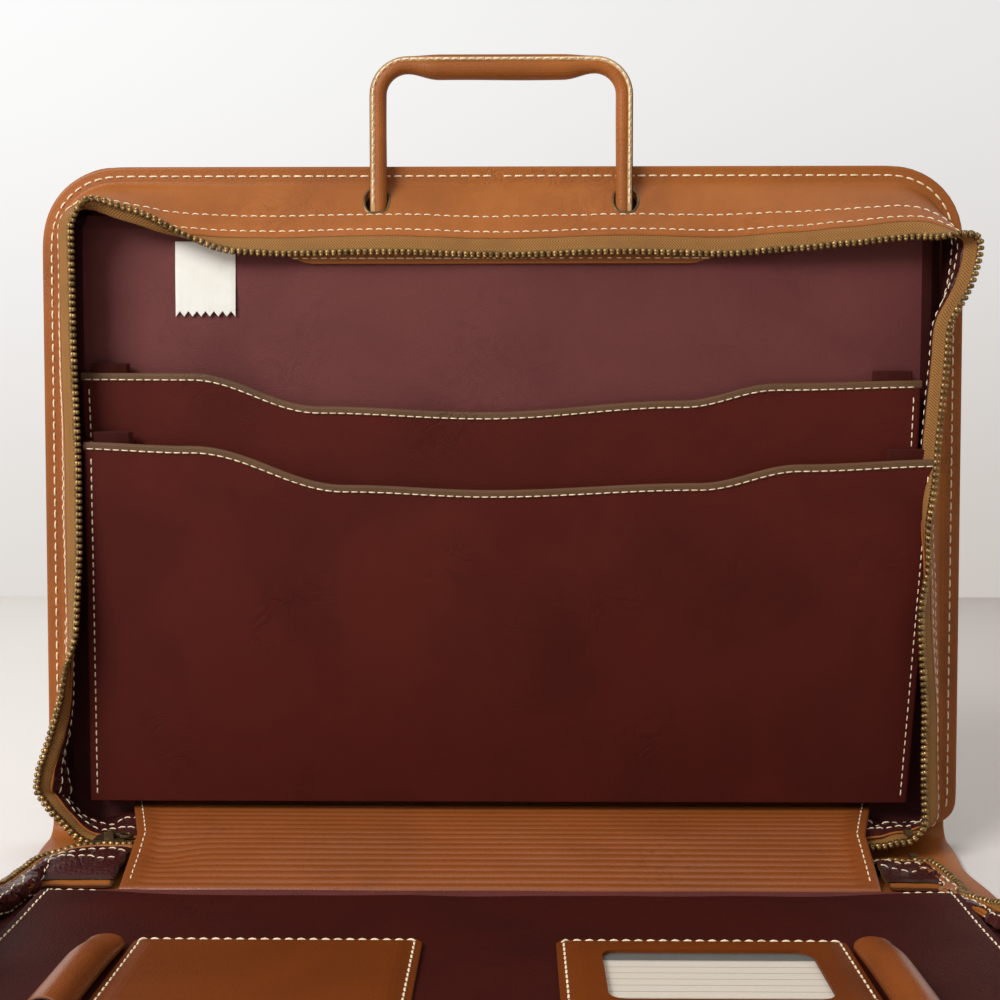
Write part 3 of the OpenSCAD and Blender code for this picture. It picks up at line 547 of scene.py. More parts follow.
def material(name: str, paint: Callable[[Graph], Surface]) -> bpy.types.Material:
    """Makes a material from a finish's paint method.

    Args:
        name: the material's name.
        paint: draws the nodes and returns what the shader gets.

    Returns:
        The new material.
    """
    made = bpy.data.materials.new(name)
    made.use_nodes = True
    graph = Graph(made.node_tree)
    shader = made.node_tree.nodes["Principled BSDF"]
    surface = paint(graph)
    wanted = {"Base Color": surface.colour, "Roughness": surface.roughness,
              "Metallic": surface.metallic}
    if surface.height is not None:
        wanted["Normal"] = graph.add("ShaderNodeBump", None,
                                     {"Strength": 1.0, "Distance": 1.0, "Height": surface.height})
    for key, value in {**wanted, **surface.constants}.items():
        if isinstance(value, Link):
            graph.tree.links.new(value.socket, shader.inputs[key])
        elif key == "Base Color":
            shader.inputs[key].default_value = (*value, 1.0)
        else:
            shader.inputs[key].default_value = value
    return made


@dataclass(frozen=True)
class Leather:
    """A leather finish.

    Attributes:
        colour: colour of the lit hide.
        deep: colour of its darker clouds, and of the painted shade in its creases.
        warm: colour of its worn places.
        edge: colour of its painted edges.
        roughness: roughness of the hide.
        grain: width of a grain cell in metres.
        grain_depth: depth of the grain in metres.
        wrinkle_depth: depth of the wrinkles in metres.
        clouds: share of the dark clouds.
        coat: weight of the clear dressing on it.
        specular: strength of its own gloss.
    """

    colour: Colour
    deep: Colour
    warm: Colour
    edge: Colour
    roughness: float = 0.45
    grain: float = 0.0011
    grain_depth: float = 0.00004
    wrinkle_depth: float = 0.0002
    clouds: float = 0.5
    coat: float = 0.0
    specular: float = 0.3
    cloud_scale: ClassVar[float] = 17.0
    fleck_scale: ClassVar[float] = 160.0
    worn_scale: ClassVar[float] = 9.0
    fold_scale: ClassVar[float] = 75.0
    sparse_scale: ClassVar[float] = 22.0
    pore_scale: ClassVar[float] = 420.0

    def paint(self, graph: Graph) -> Surface:
        """Draws clouds, worn places, grain, wrinkles with painted shade in their creases, and dark
        edges.
        """
        here = graph.place()
        cloud = graph.noise(here, self.cloud_scale, 5.0, 0.6).between(0.35, 0.72)
        fleck = graph.noise(here, self.fleck_scale, 3.0).between(0.3, 0.75)
        worn = graph.noise(here, self.worn_scale, 3.0).between(0.55, 0.8)
        tone = graph.colours(cloud * self.clouds, self.colour, self.deep)
        tone = graph.colours(worn * 0.55, tone, self.warm)
        tone = graph.colours(fleck * 0.18 * self.clouds, tone, self.deep)
        cells = graph.cells(here, 1 / self.grain).between(0.0, 0.28)
        folds = graph.noise(here, self.fold_scale, 3.0, 1.4) - 0.5
        crease = 1 - folds.maths("ABSOLUTE").between(0.0, 0.06)
        sparse = graph.noise(here, self.sparse_scale, 1.0).between(0.5, 0.72)
        height = cells * self.grain_depth - crease * sparse * self.wrinkle_depth
        height = height + graph.noise(here, self.pore_scale, 2.0) * self.grain_depth
        rim = graph.attribute("rim").between(0.30, 0.62)
        # painted shade: the wrinkles' creases are darkened towards the deep colour
        tone = graph.colours(crease * sparse * 0.35, tone, self.deep)
        tone = graph.colours(rim, tone, self.edge)
        rough = self.roughness + cloud * 0.07 - worn * 0.08 + (1 - cells) * 0.10 + rim * 0.1
        constants = {"Specular IOR Level": self.specular}
        if self.coat:
            constants.update({"Coat Weight": self.coat, "Coat Roughness": 0.25})
        return Surface(tone, rough, height, constants=constants)


@dataclass(frozen=True)
class Webbing:
    """Herringbone zip tape, on the mesh's own map in metres.

    Attributes:
        colour: colour of the yarn.
        deep: colour between the yarns, a painted shade in the grooves of the weave.
        rib: width of a herringbone rib in metres.
        pitch: distance between two yarns in metres.
        relief: height of a yarn in metres.
    """

    colour: Colour
    deep: Colour
    rib: float = 0.0029
    pitch: float = 0.00125
    relief: float = 0.00012

    def paint(self, graph: Graph) -> Surface:
        """Draws slanted yarns that turn back at each rib, with painted shade between them."""
        u, v, _ = graph.own_map()
        zigzag = v.maths("PINGPONG", self.rib)
        yarn = ((u + zigzag) * (2 * math.pi / self.pitch)).maths("SINE") * 0.5 + 0.5
        rib = (zigzag / self.rib * math.pi).maths("SINE")
        soil = graph.noise(graph.place(), 60.0, 3.0).between(0.4, 0.8)
        # painted shade: the grooves between the yarns take the deep colour
        tone = graph.colours(yarn, self.deep, self.colour)
        tone = graph.colours(soil * 0.35, tone, self.deep)
        return Surface(tone, 0.85, yarn * rib * self.relief)


@dataclass(frozen=True)
class Thread:
    """Twisted waxed thread."""

    colour: Colour
    deep: Colour
    relief: float = 0.0001

    def paint(self, graph: Graph) -> Surface:
        """Draws the twist and the soil on a thread."""
        soil = graph.noise(graph.place(), 220.0, 3.0).between(0.35, 0.75)
        twist = graph.noise(graph.place(), 2600.0, 1.0)
        tone = graph.colours(soil * 0.6, self.colour, self.deep)
        return Surface(tone, 0.62, twist * self.relief)


@dataclass(frozen=True)
class Metal:
    """Aged metal.

    Attributes:
        colour: colour of the rubbed metal.
        deep: colour of the tarnish.
        roughness: roughness of the rubbed metal.
        tarnish: share of the tarnish.
        relief: depth of the scratches in metres.
    """

    colour: Colour
    deep: Colour
    roughness: float = 0.3
    tarnish: float = 0.6
    relief: float = 0.00003

    def paint(self, graph: Graph) -> Surface:
        """Draws tarnish in clouds and fine scratches."""
        here = graph.place()
        age = graph.noise(here, 260.0, 4.0).between(0.3, 0.7)
        scratch = graph.noise(graph.place((1, 6, 1)), 900.0, 2.0)
        tone = graph.colours(age * self.tarnish, self.colour, self.deep)
        return Surface(tone, self.roughness + age * 0.25, scratch * self.relief, 0.95)


@dataclass(frozen=True)
class Cloth:
    """Fine satin or paper-like cloth with a plain weave."""

    colour: Colour
    deep: Colour
    weave: float = 0.0005
    roughness: float = 0.6
    relief: float = 0.00005

    def paint(self, graph: Graph) -> Surface:
        """Draws a plain weave and faint soil."""
        waves = [(place * (2 * math.pi / self.weave)).maths("SINE")
                 for place in graph.own_map()[:2]]
        weave = waves[0] * waves[1] * 0.5 + 0.5
        soil = graph.noise(graph.place(), 90.0, 4.0).between(0.4, 0.8)
        tone = graph.colours(soil * 0.5, self.colour, self.deep)
        tone = graph.colours(weave * 0.12, tone, self.deep)
        return Surface(tone, self.roughness, weave * self.relief)


@dataclass(frozen=True)
class RuledCard:
    """Printed card with ruled lines and a plain dark header band.

    Attributes:
        colour: colour of the card.
        ink: colour of the lines.
        top: place of the window's far edge along Y, in metres, where the band starts.
        header: depth of the header band that the window shows.
        pitch: distance between two lines.
        line: share of the pitch that a line takes.
        fibre: colour of the card's fibres.
    """

    colour: Colour
    ink: Colour
    top: float
    header: float = 0.0048
    pitch: float = 0.0052
    line: float = 0.08
    fibre: Colour = (0.55, 0.50, 0.38)

    def paint(self, graph: Graph) -> Surface:
        """Draws the header band and the lines across the card."""
        down = self.top - graph.parts(graph.place())[1]
        band = down < self.header
        line = (down / self.pitch).maths("FRACT") < self.line
        fibre = graph.noise(graph.place(), 700.0, 3.0)
        tone = graph.colours(fibre * 0.3, self.colour, self.fibre)
        tone = graph.colours(line * 0.6, tone, self.ink)
        return Surface(graph.colours(band, tone, self.ink), 0.5, fibre * 0.00001)


@dataclass(frozen=True)
class Board:
    """Grey-brown fibre board."""

    colour: Colour
    deep: Colour

    def paint(self, graph: Graph) -> Surface:
        """Draws short fibres."""
        fibre = graph.noise(graph.place((1, 4, 1)), 500.0, 4.0)
        return Surface(graph.colours(fibre, self.deep, self.colour), 0.9, fibre * 0.0001)


@dataclass(frozen=True)
class Film:
    """Clear, slightly yellowed plastic film."""

    colour: Colour = (0.92, 0.90, 0.82)
    alpha: float = 0.07
    relief: float = 0.0002

    def paint(self, graph: Graph) -> Surface:
        """Draws a faint waviness on a nearly clear film."""
        wave = graph.noise(graph.place(), 60.0, 2.0)
        constants = {"Alpha": self.alpha, "IOR": 1.45, "Specular IOR Level": 0.3}
        return Surface(self.colour, 0.15, wave * self.relief, constants=constants)


class Palette:
    """All materials of the case, each made once."""

    def __init__(self) -> None:
        """Makes the materials."""
        edge = (0.075, 0.030, 0.012)
        dark = (0.03, 0.012, 0.008)
        tan = Leather((0.325, 0.100, 0.019), (0.20, 0.056, 0.010), (0.42, 0.150, 0.040), edge,
                      roughness=0.34, grain=0.0013, wrinkle_depth=0.0001, clouds=0.6,
                      coat=0.03, specular=0.18)
        # painted shade: the liner finish is a darker copy of the tan leather; its gloss is its own
        liner = Leather((0.245, 0.064, 0.013), (0.145, 0.036, 0.007), (0.33, 0.105, 0.028), edge,
                        roughness=0.26, grain=0.0013, wrinkle_depth=0.00004, clouds=0.3,
                        coat=0.3)
        # painted shade: the patch finish is a darker copy of the tan leather
        patch = Leather((0.150, 0.032, 0.003), (0.105, 0.021, 0.002), (0.19, 0.048, 0.007), edge,
                        roughness=0.42, grain=0.0010, wrinkle_depth=0.00002, clouds=0.5,
                        specular=0.15)
        raw = Leather((0.56, 0.36, 0.18), (0.33, 0.19, 0.08), (0.66, 0.46, 0.26), edge,
                      roughness=0.7, grain=0.0008, clouds=0.6, specular=0.15)
        burgundy = Leather((0.080, 0.0108, 0.0068), (0.050, 0.0072, 0.0054),
                           (0.105, 0.0165, 0.0090), dark, roughness=0.50, grain=0.0010,
                           grain_depth=0.00006, wrinkle_depth=0.0001, clouds=0.6, specular=0.08)
        # painted sheen: the tray finish is a lighter, greyer copy of the burgundy leather
        tray = Leather((0.130, 0.033, 0.030), (0.085, 0.020, 0.019), (0.165, 0.045, 0.040), dark,
                       roughness=0.55, grain=0.0012, grain_depth=0.00006,
                       wrinkle_depth=0.00002, clouds=0.6, specular=0.18)
        # painted shade: the panel finish is a darker copy of the burgundy leather, for the
        # gussets' folds and the lying pocket
        panel = Leather((0.047, 0.0066, 0.0042), (0.030, 0.0046, 0.0034),
                        (0.068, 0.0105, 0.0060), dark, roughness=0.5, grain=0.0010,
                        grain_depth=0.00006, wrinkle_depth=0.0001, clouds=0.7, specular=0.08)
        glossy = Leather((0.052, 0.0098, 0.0090), (0.026, 0.0056, 0.0056),
                         (0.074, 0.0150, 0.0130), dark, roughness=0.27, grain=0.0014,
                         wrinkle_depth=0.0005, clouds=0.7, coat=0.05, specular=0.22)
        olive = Leather((0.114, 0.053, 0.021), (0.06, 0.026, 0.010), (0.17, 0.085, 0.035),
                        (0.09, 0.04, 0.015), roughness=0.5, grain=0.0009)
        window_top = 0.0331
        finishes = {
            Finish.TAN: tan, Finish.BURGUNDY: burgundy, Finish.OLIVE: olive,
            Finish.LINER: liner, Finish.PATCH: patch, Finish.RAW: raw, Finish.TRAY: tray,
            Finish.DARK: Leather((0.035, 0.016, 0.008), (0.015, 0.008, 0.005),
                                 (0.09, 0.040, 0.018), edge, roughness=0.5),
            Finish.PANEL: panel, Finish.GLOSSY: glossy,
            Finish.WEBBING: Webbing((0.350, 0.152, 0.027), (0.13, 0.054, 0.010)),
            Finish.BOARD: Board((0.30, 0.23, 0.14), (0.16, 0.12, 0.08)),
            Finish.LABEL: Cloth((0.78, 0.76, 0.70), (0.62, 0.59, 0.50)),
            Finish.PAPER: RuledCard((0.66, 0.58, 0.49), (0.008, 0.008, 0.008), window_top),
            Finish.BRASS: Metal((0.40, 0.255, 0.10), (0.10, 0.055, 0.020), 0.36, 0.75),
            Finish.BRONZE: Metal((0.20, 0.13, 0.06), (0.05, 0.03, 0.015), 0.38, 0.7),
            Finish.STEEL: Metal((0.42, 0.41, 0.38), (0.16, 0.14, 0.11), 0.32, 0.5),
            Finish.FILM: Film(),
            Finish.THREAD: Thread((0.86, 0.71, 0.50), (0.55, 0.38, 0.21)),
        }
        self.materials = {key: material(key.value, one.paint) for key, one in finishes.items()}

    def __getitem__(self, finish: Finish) -> bpy.types.Material:
        """The material of a finish."""
        return self.materials[finish]


# Places inside a rounded rim, in shares of its width, and the angle past which an edge is sharp
RIM_PLACES = (0.0, 0.15, 0.5, 1.0)
SHARP = math.radians(62)


def with_rims(low: float, high: float, step: float, rim: float) -> np.ndarray:
    """Places from low to high, with the close places that a rounded rim needs.

    Args:
        low: first place.
        high: last place.
        step: usual distance between two places.
        rim: width of the rounded rim.

    Returns:
        The places in rising order.
    """
    count = max(int(round((high - low - 2 * rim) / step)), 1)
    inner = np.linspace(low + rim, high - rim, count + 1)
    near = [low + p * rim for p in RIM_PLACES[:-1]]
    far = [high - p * rim for p in reversed(RIM_PLACES[:-1])]
    return np.concatenate([near, inner, far])


def rim_share(distance: np.ndarray, rim: float) -> np.ndarray:
    """Share of a sheet's thickness at a distance inside its rounded edge."""
    return np.sqrt(np.maximum(1 - (1 - np.clip(distance / rim, 0, 1)) ** 2, 0))


def grid_normals(points: np.ndarray) -> np.ndarray:
    """Unit normals of a grid whose rows and columns turn the right way round it."""
    return unit(np.cross(np.gradient(points, axis=1), np.gradient(points, axis=0)))


def grid_map(points: np.ndarray) -> np.ndarray:
    """Flat map of a grid in metres: distance along the rows and across the columns."""
    middle = points[:, points.shape[1] // 2]
    rows = np.repeat(arc_length(middle)[:, None], points.shape[1], 1)
    steps = np.linalg.norm(np.diff(points, axis=1), axis=2)
    columns = np.concatenate([np.zeros((len(points), 1)), np.cumsum(steps, 1)], 1)
    return np.stack([rows, columns], -1) * MM


def make_object(name: str, points: np.ndarray, faces: list[Any], finish: bpy.types.Material,
                flat: np.ndarray | None = None, rim: np.ndarray | None = None,
                merge: float = 0.002) -> bpy.types.Object:
    """Makes an object from points in millimetres.

    Args:
        name: name of the object.
        points: points, one row each.
        faces: faces as rows of point numbers.
        finish: its material.
        flat: flat map of the points in metres.
        rim: share by which each point is at a painted edge.
        merge: distance in millimetres under which points become one.

    Returns:
        The new object, smoothly shaded, at the origin.
    """
    mesh = bpy.data.meshes.new(name)
    mesh.from_pydata((np.asarray(points, float).reshape(-1, 3) * MM).tolist(), [], faces)
    if flat is not None:
        layer = mesh.uv_layers.new(name="UVMap")
        corner = np.empty(len(mesh.loops), int)
        mesh.loops.foreach_get("vertex_index", corner)
        layer.data.foreach_set("uv", flat.reshape(-1, 2)[corner].astype(np.float32).ravel())
    if rim is not None:
        attribute = mesh.attributes.new("rim", "FLOAT", "POINT")
        attribute.data.foreach_set("value", np.asarray(rim, np.float32).ravel())
    if merge:
        soup = bmesh.new()
        soup.from_mesh(mesh)
        bmesh.ops.remove_doubles(soup, verts=soup.verts, dist=merge * MM)
        for edge in soup.edges:
            edge.smooth = edge.calc_face_angle(0.0) < SHARP
        soup.to_mesh(mesh)
        soup.free()
    mesh.materials.append(finish)
    made = bpy.data.objects.new(name, mesh)
    bpy.context.scene.collection.objects.link(made)
    return made


def sheet_object(name: str, middle: np.ndarray, thick: np.ndarray | float, share: np.ndarray,
                 finish: bpy.types.Material) -> bpy.types.Object:
    """Makes a closed sheet on both sides of a grid of middle points.

    Args:
        name: name of the object.
        middle: grid of points of the sheet's middle surface.
        thick: full thickness, one value or one for each point.
        share: share of the thickness at each point; 0 closes the edge.
        finish: its material.

    Returns:
        The new object.
    """
    rows, columns = middle.shape[:2]
    half = grid_normals(middle) * (np.asarray(thick) * share / 2)[..., None]
    points = np.concatenate([(middle + half).reshape(-1, 3), (middle - half).reshape(-1, 3)])
    number = np.arange(rows * columns).reshape(rows, columns)
    low = rows * columns
    faces = quads(number).tolist()
    faces += (quads(number)[:, ::-1] + low).tolist()
    loop = np.concatenate([number[0, :-1], number[:-1, -1], number[-1, :0:-1], number[:0:-1, 0]])
    closed = float(np.max(share[[0, -1]])) + float(np.max(share[:, [0, -1]]))
    if closed > 0:
        after = np.roll(loop, -1)
        faces += np.stack([after, loop, loop + low, after + low], 1).tolist()
    else:
        swap = np.arange(2 * low)
        swap[loop + low] = loop
        faces = swap[np.array(faces)].tolist()
    flat = np.tile(grid_map(middle).reshape(-1, 2), (2, 1))
    rim = np.tile((1 - share).ravel(), 2)
    return make_object(name, points, faces, finish, flat, rim)


def grid_share(rows: np.ndarray, columns: np.ndarray, rim: float,
               open_ends: bool = False) -> np.ndarray:
    """Thickness share of a grid from its places along and across, rounded at its edges."""
    across = rim_share(np.minimum(columns - columns[0], columns[-1] - columns), rim)
    if open_ends:
        return np.repeat(across[None, :], len(rows), 0)
    down = rim_share(np.minimum(rows - rows[0], rows[-1] - rows), rim)
    return down[:, None] * across[None, :]


def face_out(made: bpy.types.Object) -> bpy.types.Object:
    """Turns the faces of a closed object outwards."""
    soup = bmesh.new()
    soup.from_mesh(made.data)
    bmesh.ops.recalc_face_normals(soup, faces=soup.faces)
    soup.to_mesh(made.data)
    soup.free()
    return made


def quads(number: np.ndarray) -> np.ndarray:
    """Four-sided faces of a grid of point numbers, turned from its rows to its columns."""
    corners = [number[:-1, :-1], number[:-1, 1:], number[1:, 1:], number[1:, :-1]]
    return np.stack(corners, -1).reshape(-1, 4)


def tube_object(name: str, rings: np.ndarray, finish: bpy.types.Material) -> bpy.types.Object:
    """Makes a closed body from rings of points, each turning the right way round its way.

    Args:
        name: name of the object.
        rings: array of rings, each a row of points.
        finish: its material.

    Returns:
        The new object.
    """
    count, size = rings.shape[:2]
    number = np.arange(count * size).reshape(count, size)
    faces = quads(np.concatenate([number, number[:, :1]], 1)).tolist()
    faces += [number[0, ::-1].tolist(), number[-1].tolist()]
    lengths = arc_length(rings.mean(1))
    around = np.concatenate([[0.0], np.cumsum(np.linalg.norm(
        np.diff(rings[count // 2], axis=0), axis=1))])
    flat = np.stack(np.meshgrid(lengths, around, indexing="ij"), -1) * MM
    made = make_object(name, rings.reshape(-1, 3), faces, finish, flat.reshape(-1, 2))
    return face_out(made)


def circle(count: int) -> np.ndarray:
    """Points round a circle of radius 1."""
    angles = np.linspace(0, 2 * math.pi, count, endpoint=False)
    return np.stack([np.cos(angles), np.sin(angles)], -1)


def swept_rings(path: np.ndarray, outward: np.ndarray, profile: np.ndarray) -> np.ndarray:
    """Rings of a closed profile carried along a path.

    Args:
        path: points of the path.
        outward: direction of the profile's first axis at each point.
        profile: points as (first axis, second axis), one set or one for each point.

    Returns:
        The rings.
    """
    way = along(path)
    first = unit(outward - way * np.sum(outward * way, 1, keepdims=True))
    second = np.cross(way, first)
    profile = np.broadcast_to(profile, (len(path), *profile.shape[-2:]))
    return (path[:, None] + first[:, None] * profile[..., :1]
            + second[:, None] * profile[..., 1:])


def rounded_profile(width: float, height: float, radius: float, steps: int = 4) -> np.ndarray:
    """Closed profile of a rectangle with rounded corners, round its middle."""
    points = []
    for k, (sx, sy) in enumerate([(1, 1), (-1, 1), (-1, -1), (1, -1)]):
        for i in range(steps):
            angle = math.pi / 2 * (k + i / (steps - 1))
            points.append([sx * (width / 2 - radius) + radius * math.cos(angle),
                           sy * (height / 2 - radius) + radius * math.sin(angle)])
    return np.array(points)


def settle(piece: bpy.types.Object) -> None:
    """Keeps what a piece's modifiers make as its plain mesh."""
    graph = bpy.context.evaluated_depsgraph_get()
    result = bpy.data.meshes.new_from_object(piece.evaluated_get(graph))
    piece.modifiers.clear()
    piece.data = result


def cut(piece: bpy.types.Object, tools: Sequence[bpy.types.Object]) -> None:
    """Cuts closed bodies out of a piece and removes them."""
    for tool in tools:
        modifier = piece.modifiers.new("cut", "BOOLEAN")
        modifier.operation = "DIFFERENCE"
        modifier.solver = "EXACT"
        modifier.object = tool
    settle(piece)
    for tool in tools:
        bpy.data.objects.remove(tool)


def start_tree(name: str, numbers: Sequence[str]) -> tuple[Graph, list[Link]]:
    """Starts a Geometry Nodes tree that takes a mesh, some numbers and a material.

    Args:
        name: the tree's name.
        numbers: names of its number inputs.

    Returns:
        The tree's graph and a link for each input.
    """
    tree = bpy.data.node_groups.new(name, "GeometryNodeTree")
    kinds = {"Geometry": "NodeSocketGeometry", **dict.fromkeys(numbers, "NodeSocketFloat"),
             "Material": "NodeSocketMaterial"}
    for key, kind in kinds.items():
        tree.interface.new_socket(key, in_out="INPUT", socket_type=kind)
    tree.interface.new_socket("Geometry", in_out="OUTPUT", socket_type="NodeSocketGeometry")
    graph = Graph(tree)
    return graph, graph.links(graph.node("NodeGroupInput"))


def run_tree(piece: bpy.types.Object, tree: bpy.types.NodeTree, values: dict[str, Any]) -> None:
    """Runs a tree on a piece and keeps the smoothly shaded result.

    Args:
        piece: the piece.
        tree: the tree of Geometry Nodes.
        values: the tree's inputs by their names.
    """
    modifier = piece.modifiers.new(tree.name, "NODES")
    modifier.node_group = tree
    for item in tree.interface.items_tree:
        if item.in_out == "INPUT" and item.name in values:
            modifier[item.identifier] = values[item.name]
    settle(piece)
    piece.data.shade_smooth()


class Repeated(Enum):
    """Small shapes that Geometry Nodes set along the case's rows."""

    STITCH = "stitch"
    TOOTH = "tooth"


class Stitch(Enum):
    """Stitches in millimetres, as their length, their rise and the radius of the thread."""

    ZIP = (3.0, 0.75, 0.30)
    BORDER = (3.7, 1.0, 0.42)
    POCKET = (2.7, 0.75, 0.30)
    LIP = (3.0, 0.7, 0.28)
    LINER = (3.2, 0.75, 0.32)
    HANDLE = (3.3, 0.9, 0.40)
    PATCH = (3.1, 0.9, 0.42)
    DOCUMENT = (3.1, 0.9, 0.34)


class Repeater:
    """Sets a small shape on the points of a row with Geometry Nodes."""

    def __init__(self, shape: Repeated) -> None:
        """Builds the node tree of one shape.

        Args:
            shape: the shape that the tree repeats.
        """
        graph, given = start_tree(shape.value, ("Length", "Rise", "Radius"))
        self.tree = graph.tree
        draw = self._stitch if shape is Repeated.STITCH else self._tooth
        one = draw(graph, *given[1:4])
        vector = {"data_type": "FLOAT_VECTOR"}
        way = graph.add("GeometryNodeInputNamedAttribute", vector, {0: "way"})
        face_way = graph.add("GeometryNodeInputNamedAttribute", vector, {0: "face"})
        turn = graph.add("FunctionNodeAlignRotationToVector", {"axis": "X"}, {"Vector": way})
        turn = graph.add("FunctionNodeAlignRotationToVector", {"axis": "Z", "pivot_axis": "X"},
                         {"Rotation": turn, "Vector": face_way})
        placed = graph.add("GeometryNodeInstanceOnPoints", None,
                           {"Points": given[0], "Instance": one, "Rotation": turn})
        graph.dress(placed, given[4])

    def _stitch(self, graph: Graph, length: Link, rise: Link, radius: Link) -> Link:
        """A short arc of thread whose ends dip into the leather."""
        half, sunk = length * 0.5, radius * -1.1
        arc = graph.add("GeometryNodeCurveQuadraticBezier", None,
                        {"Resolution": 4, "Start": graph.vector(half * -1, z=sunk),
                         "Middle": graph.vector(z=rise), "End": graph.vector(half, z=sunk)})
        ring = graph.add("GeometryNodeCurvePrimitiveCircle", {"mode": "RADIUS"},
                         {"Resolution": 5, "Radius": radius})
        return graph.add("GeometryNodeCurveToMesh", None,
                         {"Curve": arc, "Profile Curve": ring, "Fill Caps": True})

    def _tooth(self, graph: Graph, length: Link, rise: Link, radius: Link) -> Link:
        """A clasp on the tape's edge with a rounder head at its tip."""
        clasp = graph.add("GeometryNodeMeshCube", None,
                          {"Size": graph.vector(length * 0.75, radius * 2, rise)})
        clasp = graph.add("GeometryNodeTransform", None,
                          {"Geometry": clasp, "Translation": graph.vector(length * 0.12)})
        head = graph.add("GeometryNodeMeshUVSphere", None,
                         {"Segments": 8, "Rings": 5, "Radius": 1.0})
        size = graph.vector(length * 0.38, radius * 1.05, rise * 0.42)
        head = graph.add("GeometryNodeTransform", None,
                         {"Geometry": head, "Translation": graph.vector(length * 0.62),
                          "Scale": size})
        return graph.joined(head, clasp)

    def along(self, name: str, rows: Sequence["Row"], size: tuple[float, float, float],
              finish: bpy.types.Material) -> bpy.types.Object:
        """Sets the shape on every point of some rows.

        Args:
            name: name of the object.
            rows: the rows.
            size: length, rise and radius or half width of one shape in millimetres.
            finish: its material.

        Returns:
            A plain mesh object.
        """
        points = np.concatenate([row.points for row in rows])
        mesh = bpy.data.meshes.new(name)
        mesh.from_pydata((points * MM).tolist(), [], [])
        for key in ("way", "face"):
            attribute = mesh.attributes.new(key, "FLOAT_VECTOR", "POINT")
            values = np.concatenate([getattr(row, key) for row in rows]).astype(np.float32)
            attribute.data.foreach_set("vector", values.ravel())
        made = bpy.data.objects.new(name, mesh)
        bpy.context.scene.collection.objects.link(made)
        length, rise, radius = (value * MM for value in size)
        run_tree(made, self.tree, {"Length": length, "Rise": rise, "Radius": radius,
                                   "Material": finish})
        for key in ("way", "face"):
            if key in made.data.attributes:
                made.data.attributes.remove(made.data.attributes[key])
        return made


@dataclass(frozen=True)
class Row:
    """Evenly spaced points on a surface, with the way along and the surface's face."""

    points: np.ndarray
    way: np.ndarray
    face: np.ndarray


def row_along(curve: np.ndarray, face: np.ndarray, pitch: float, free: float = 0.0) -> Row:
    """Sets points along a curve.

    Args:
        curve: points of the curve.
        face: the surface's normal at each.
        pitch: distance between two points.
        free: distance left free at both ends.

    Returns:
        The row.
    """
    lengths = arc_length(curve)
    count = max(int((lengths[-1] - free - free) / pitch), 1)
    wanted = free + (np.arange(count) + 0.5) * pitch
    points = read_at(lengths, curve, wanted)
    ahead = read_at(lengths, curve, wanted + 0.4 * pitch)
    behind = read_at(lengths, curve, wanted - 0.4 * pitch)
    return Row(points, unit(ahead - behind), unit(read_at(lengths, face, wanted)))


class Workshop:
    """What every piece of the case is made with."""

    def __init__(self) -> None:
        """Makes the materials and the repeaters."""
        self.palette = Palette()
        self.stitch = Repeater(Repeated.STITCH)
        self.tooth = Repeater(Repeated.TOOTH)

    def sew(self, name: str, rows: Sequence[Row], stitch: Stitch) -> bpy.types.Object:
        """Sews stitches on some rows."""
        made = self.stitch.along(name, rows, stitch.value, self.palette[Finish.THREAD])
        return made

    def sheet(self, name: str, middle: np.ndarray, thick: np.ndarray | float,
              share: np.ndarray, finish: Finish) -> bpy.types.Object:
        """Makes a closed sheet in a finish."""
        made = sheet_object(name, middle, thick, share, self.palette[finish])
        return made

    def tube(self, name: str, rings: np.ndarray, finish: Finish) -> bpy.types.Object:
        """Makes a closed tube in a finish."""
        made = tube_object(name, rings, self.palette[finish])
        return made


@dataclass(frozen=True)
class Bend:
    """Where a piece bends from one body to another, in millimetres."""

    near: str
    far: str
    start: tuple[float, float, float]
    end: tuple[float, float, float]

    def carry(self, *pieces: bpy.types.Object) -> None:
        """Bakes each piece's transform into its mesh."""
        for piece in pieces:
            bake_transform(piece)


def report(pieces: Sequence[bpy.types.Object]) -> None:
    """Reports pieces and their faces."""
    for piece in pieces:
        LOG.info("%s: %d faces", piece.name, len(piece.data.polygons))


def ride_on(body: str, pieces: Sequence[bpy.types.Object]) -> None:
    """Lets pieces ride on a body and reports them."""
    for piece in pieces:
        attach(piece, body)
    report(pieces)


@dataclass(frozen=True)
class Return:
    """A short return of a wall strip onto the spine, in millimetres.

    Attributes:
        side: -1 for the left one and 1 for the right one.
        root_y: its root line along the spine.
        root_z: height of the root at the inner end.
        way: way from the root to the zip along Y, with the sign of the solids.
        outer_x: distance of its outer end from the middle.
        bend_x: where the zip line starts to bend.
        zip_z: height of the zip line before the bend.
        outer_z: height of the zip line at the outer end.
    """

    side: int
    root_y: float
    root_z: float
    way: int
    outer_x: float
    bend_x: float
    zip_z: float
    outer_z: float
    inner_x: float = 153.0
    low_z: float = 5.8
    thick: float = 2.4
    zip_mid_y: float = -42.0
    zip_edge: float = 11.0

    def under(self, a: float) -> tuple[np.ndarray, np.ndarray]:
        """Root point and zip point of the under face at a share of its run."""
        x = mix(self.inner_x, self.outer_x, a)
        bent = max(x - self.bend_x, 0) / (self.outer_x - self.bend_x)
        root_z = mix(self.root_z, min(self.root_z, self.low_z), a)
        zip_z = mix(self.zip_z, self.outer_z, float(ease(bent)))
        base_y, zip_y = self.root_y, self.zip_mid_y - self.way * self.zip_edge
        shift = np.array([0, S.hinge_y, -self.thick])
        return (np.array([self.side * x, base_y, root_z]) + shift,
                np.array([self.side * x, zip_y, zip_z]) + shift)


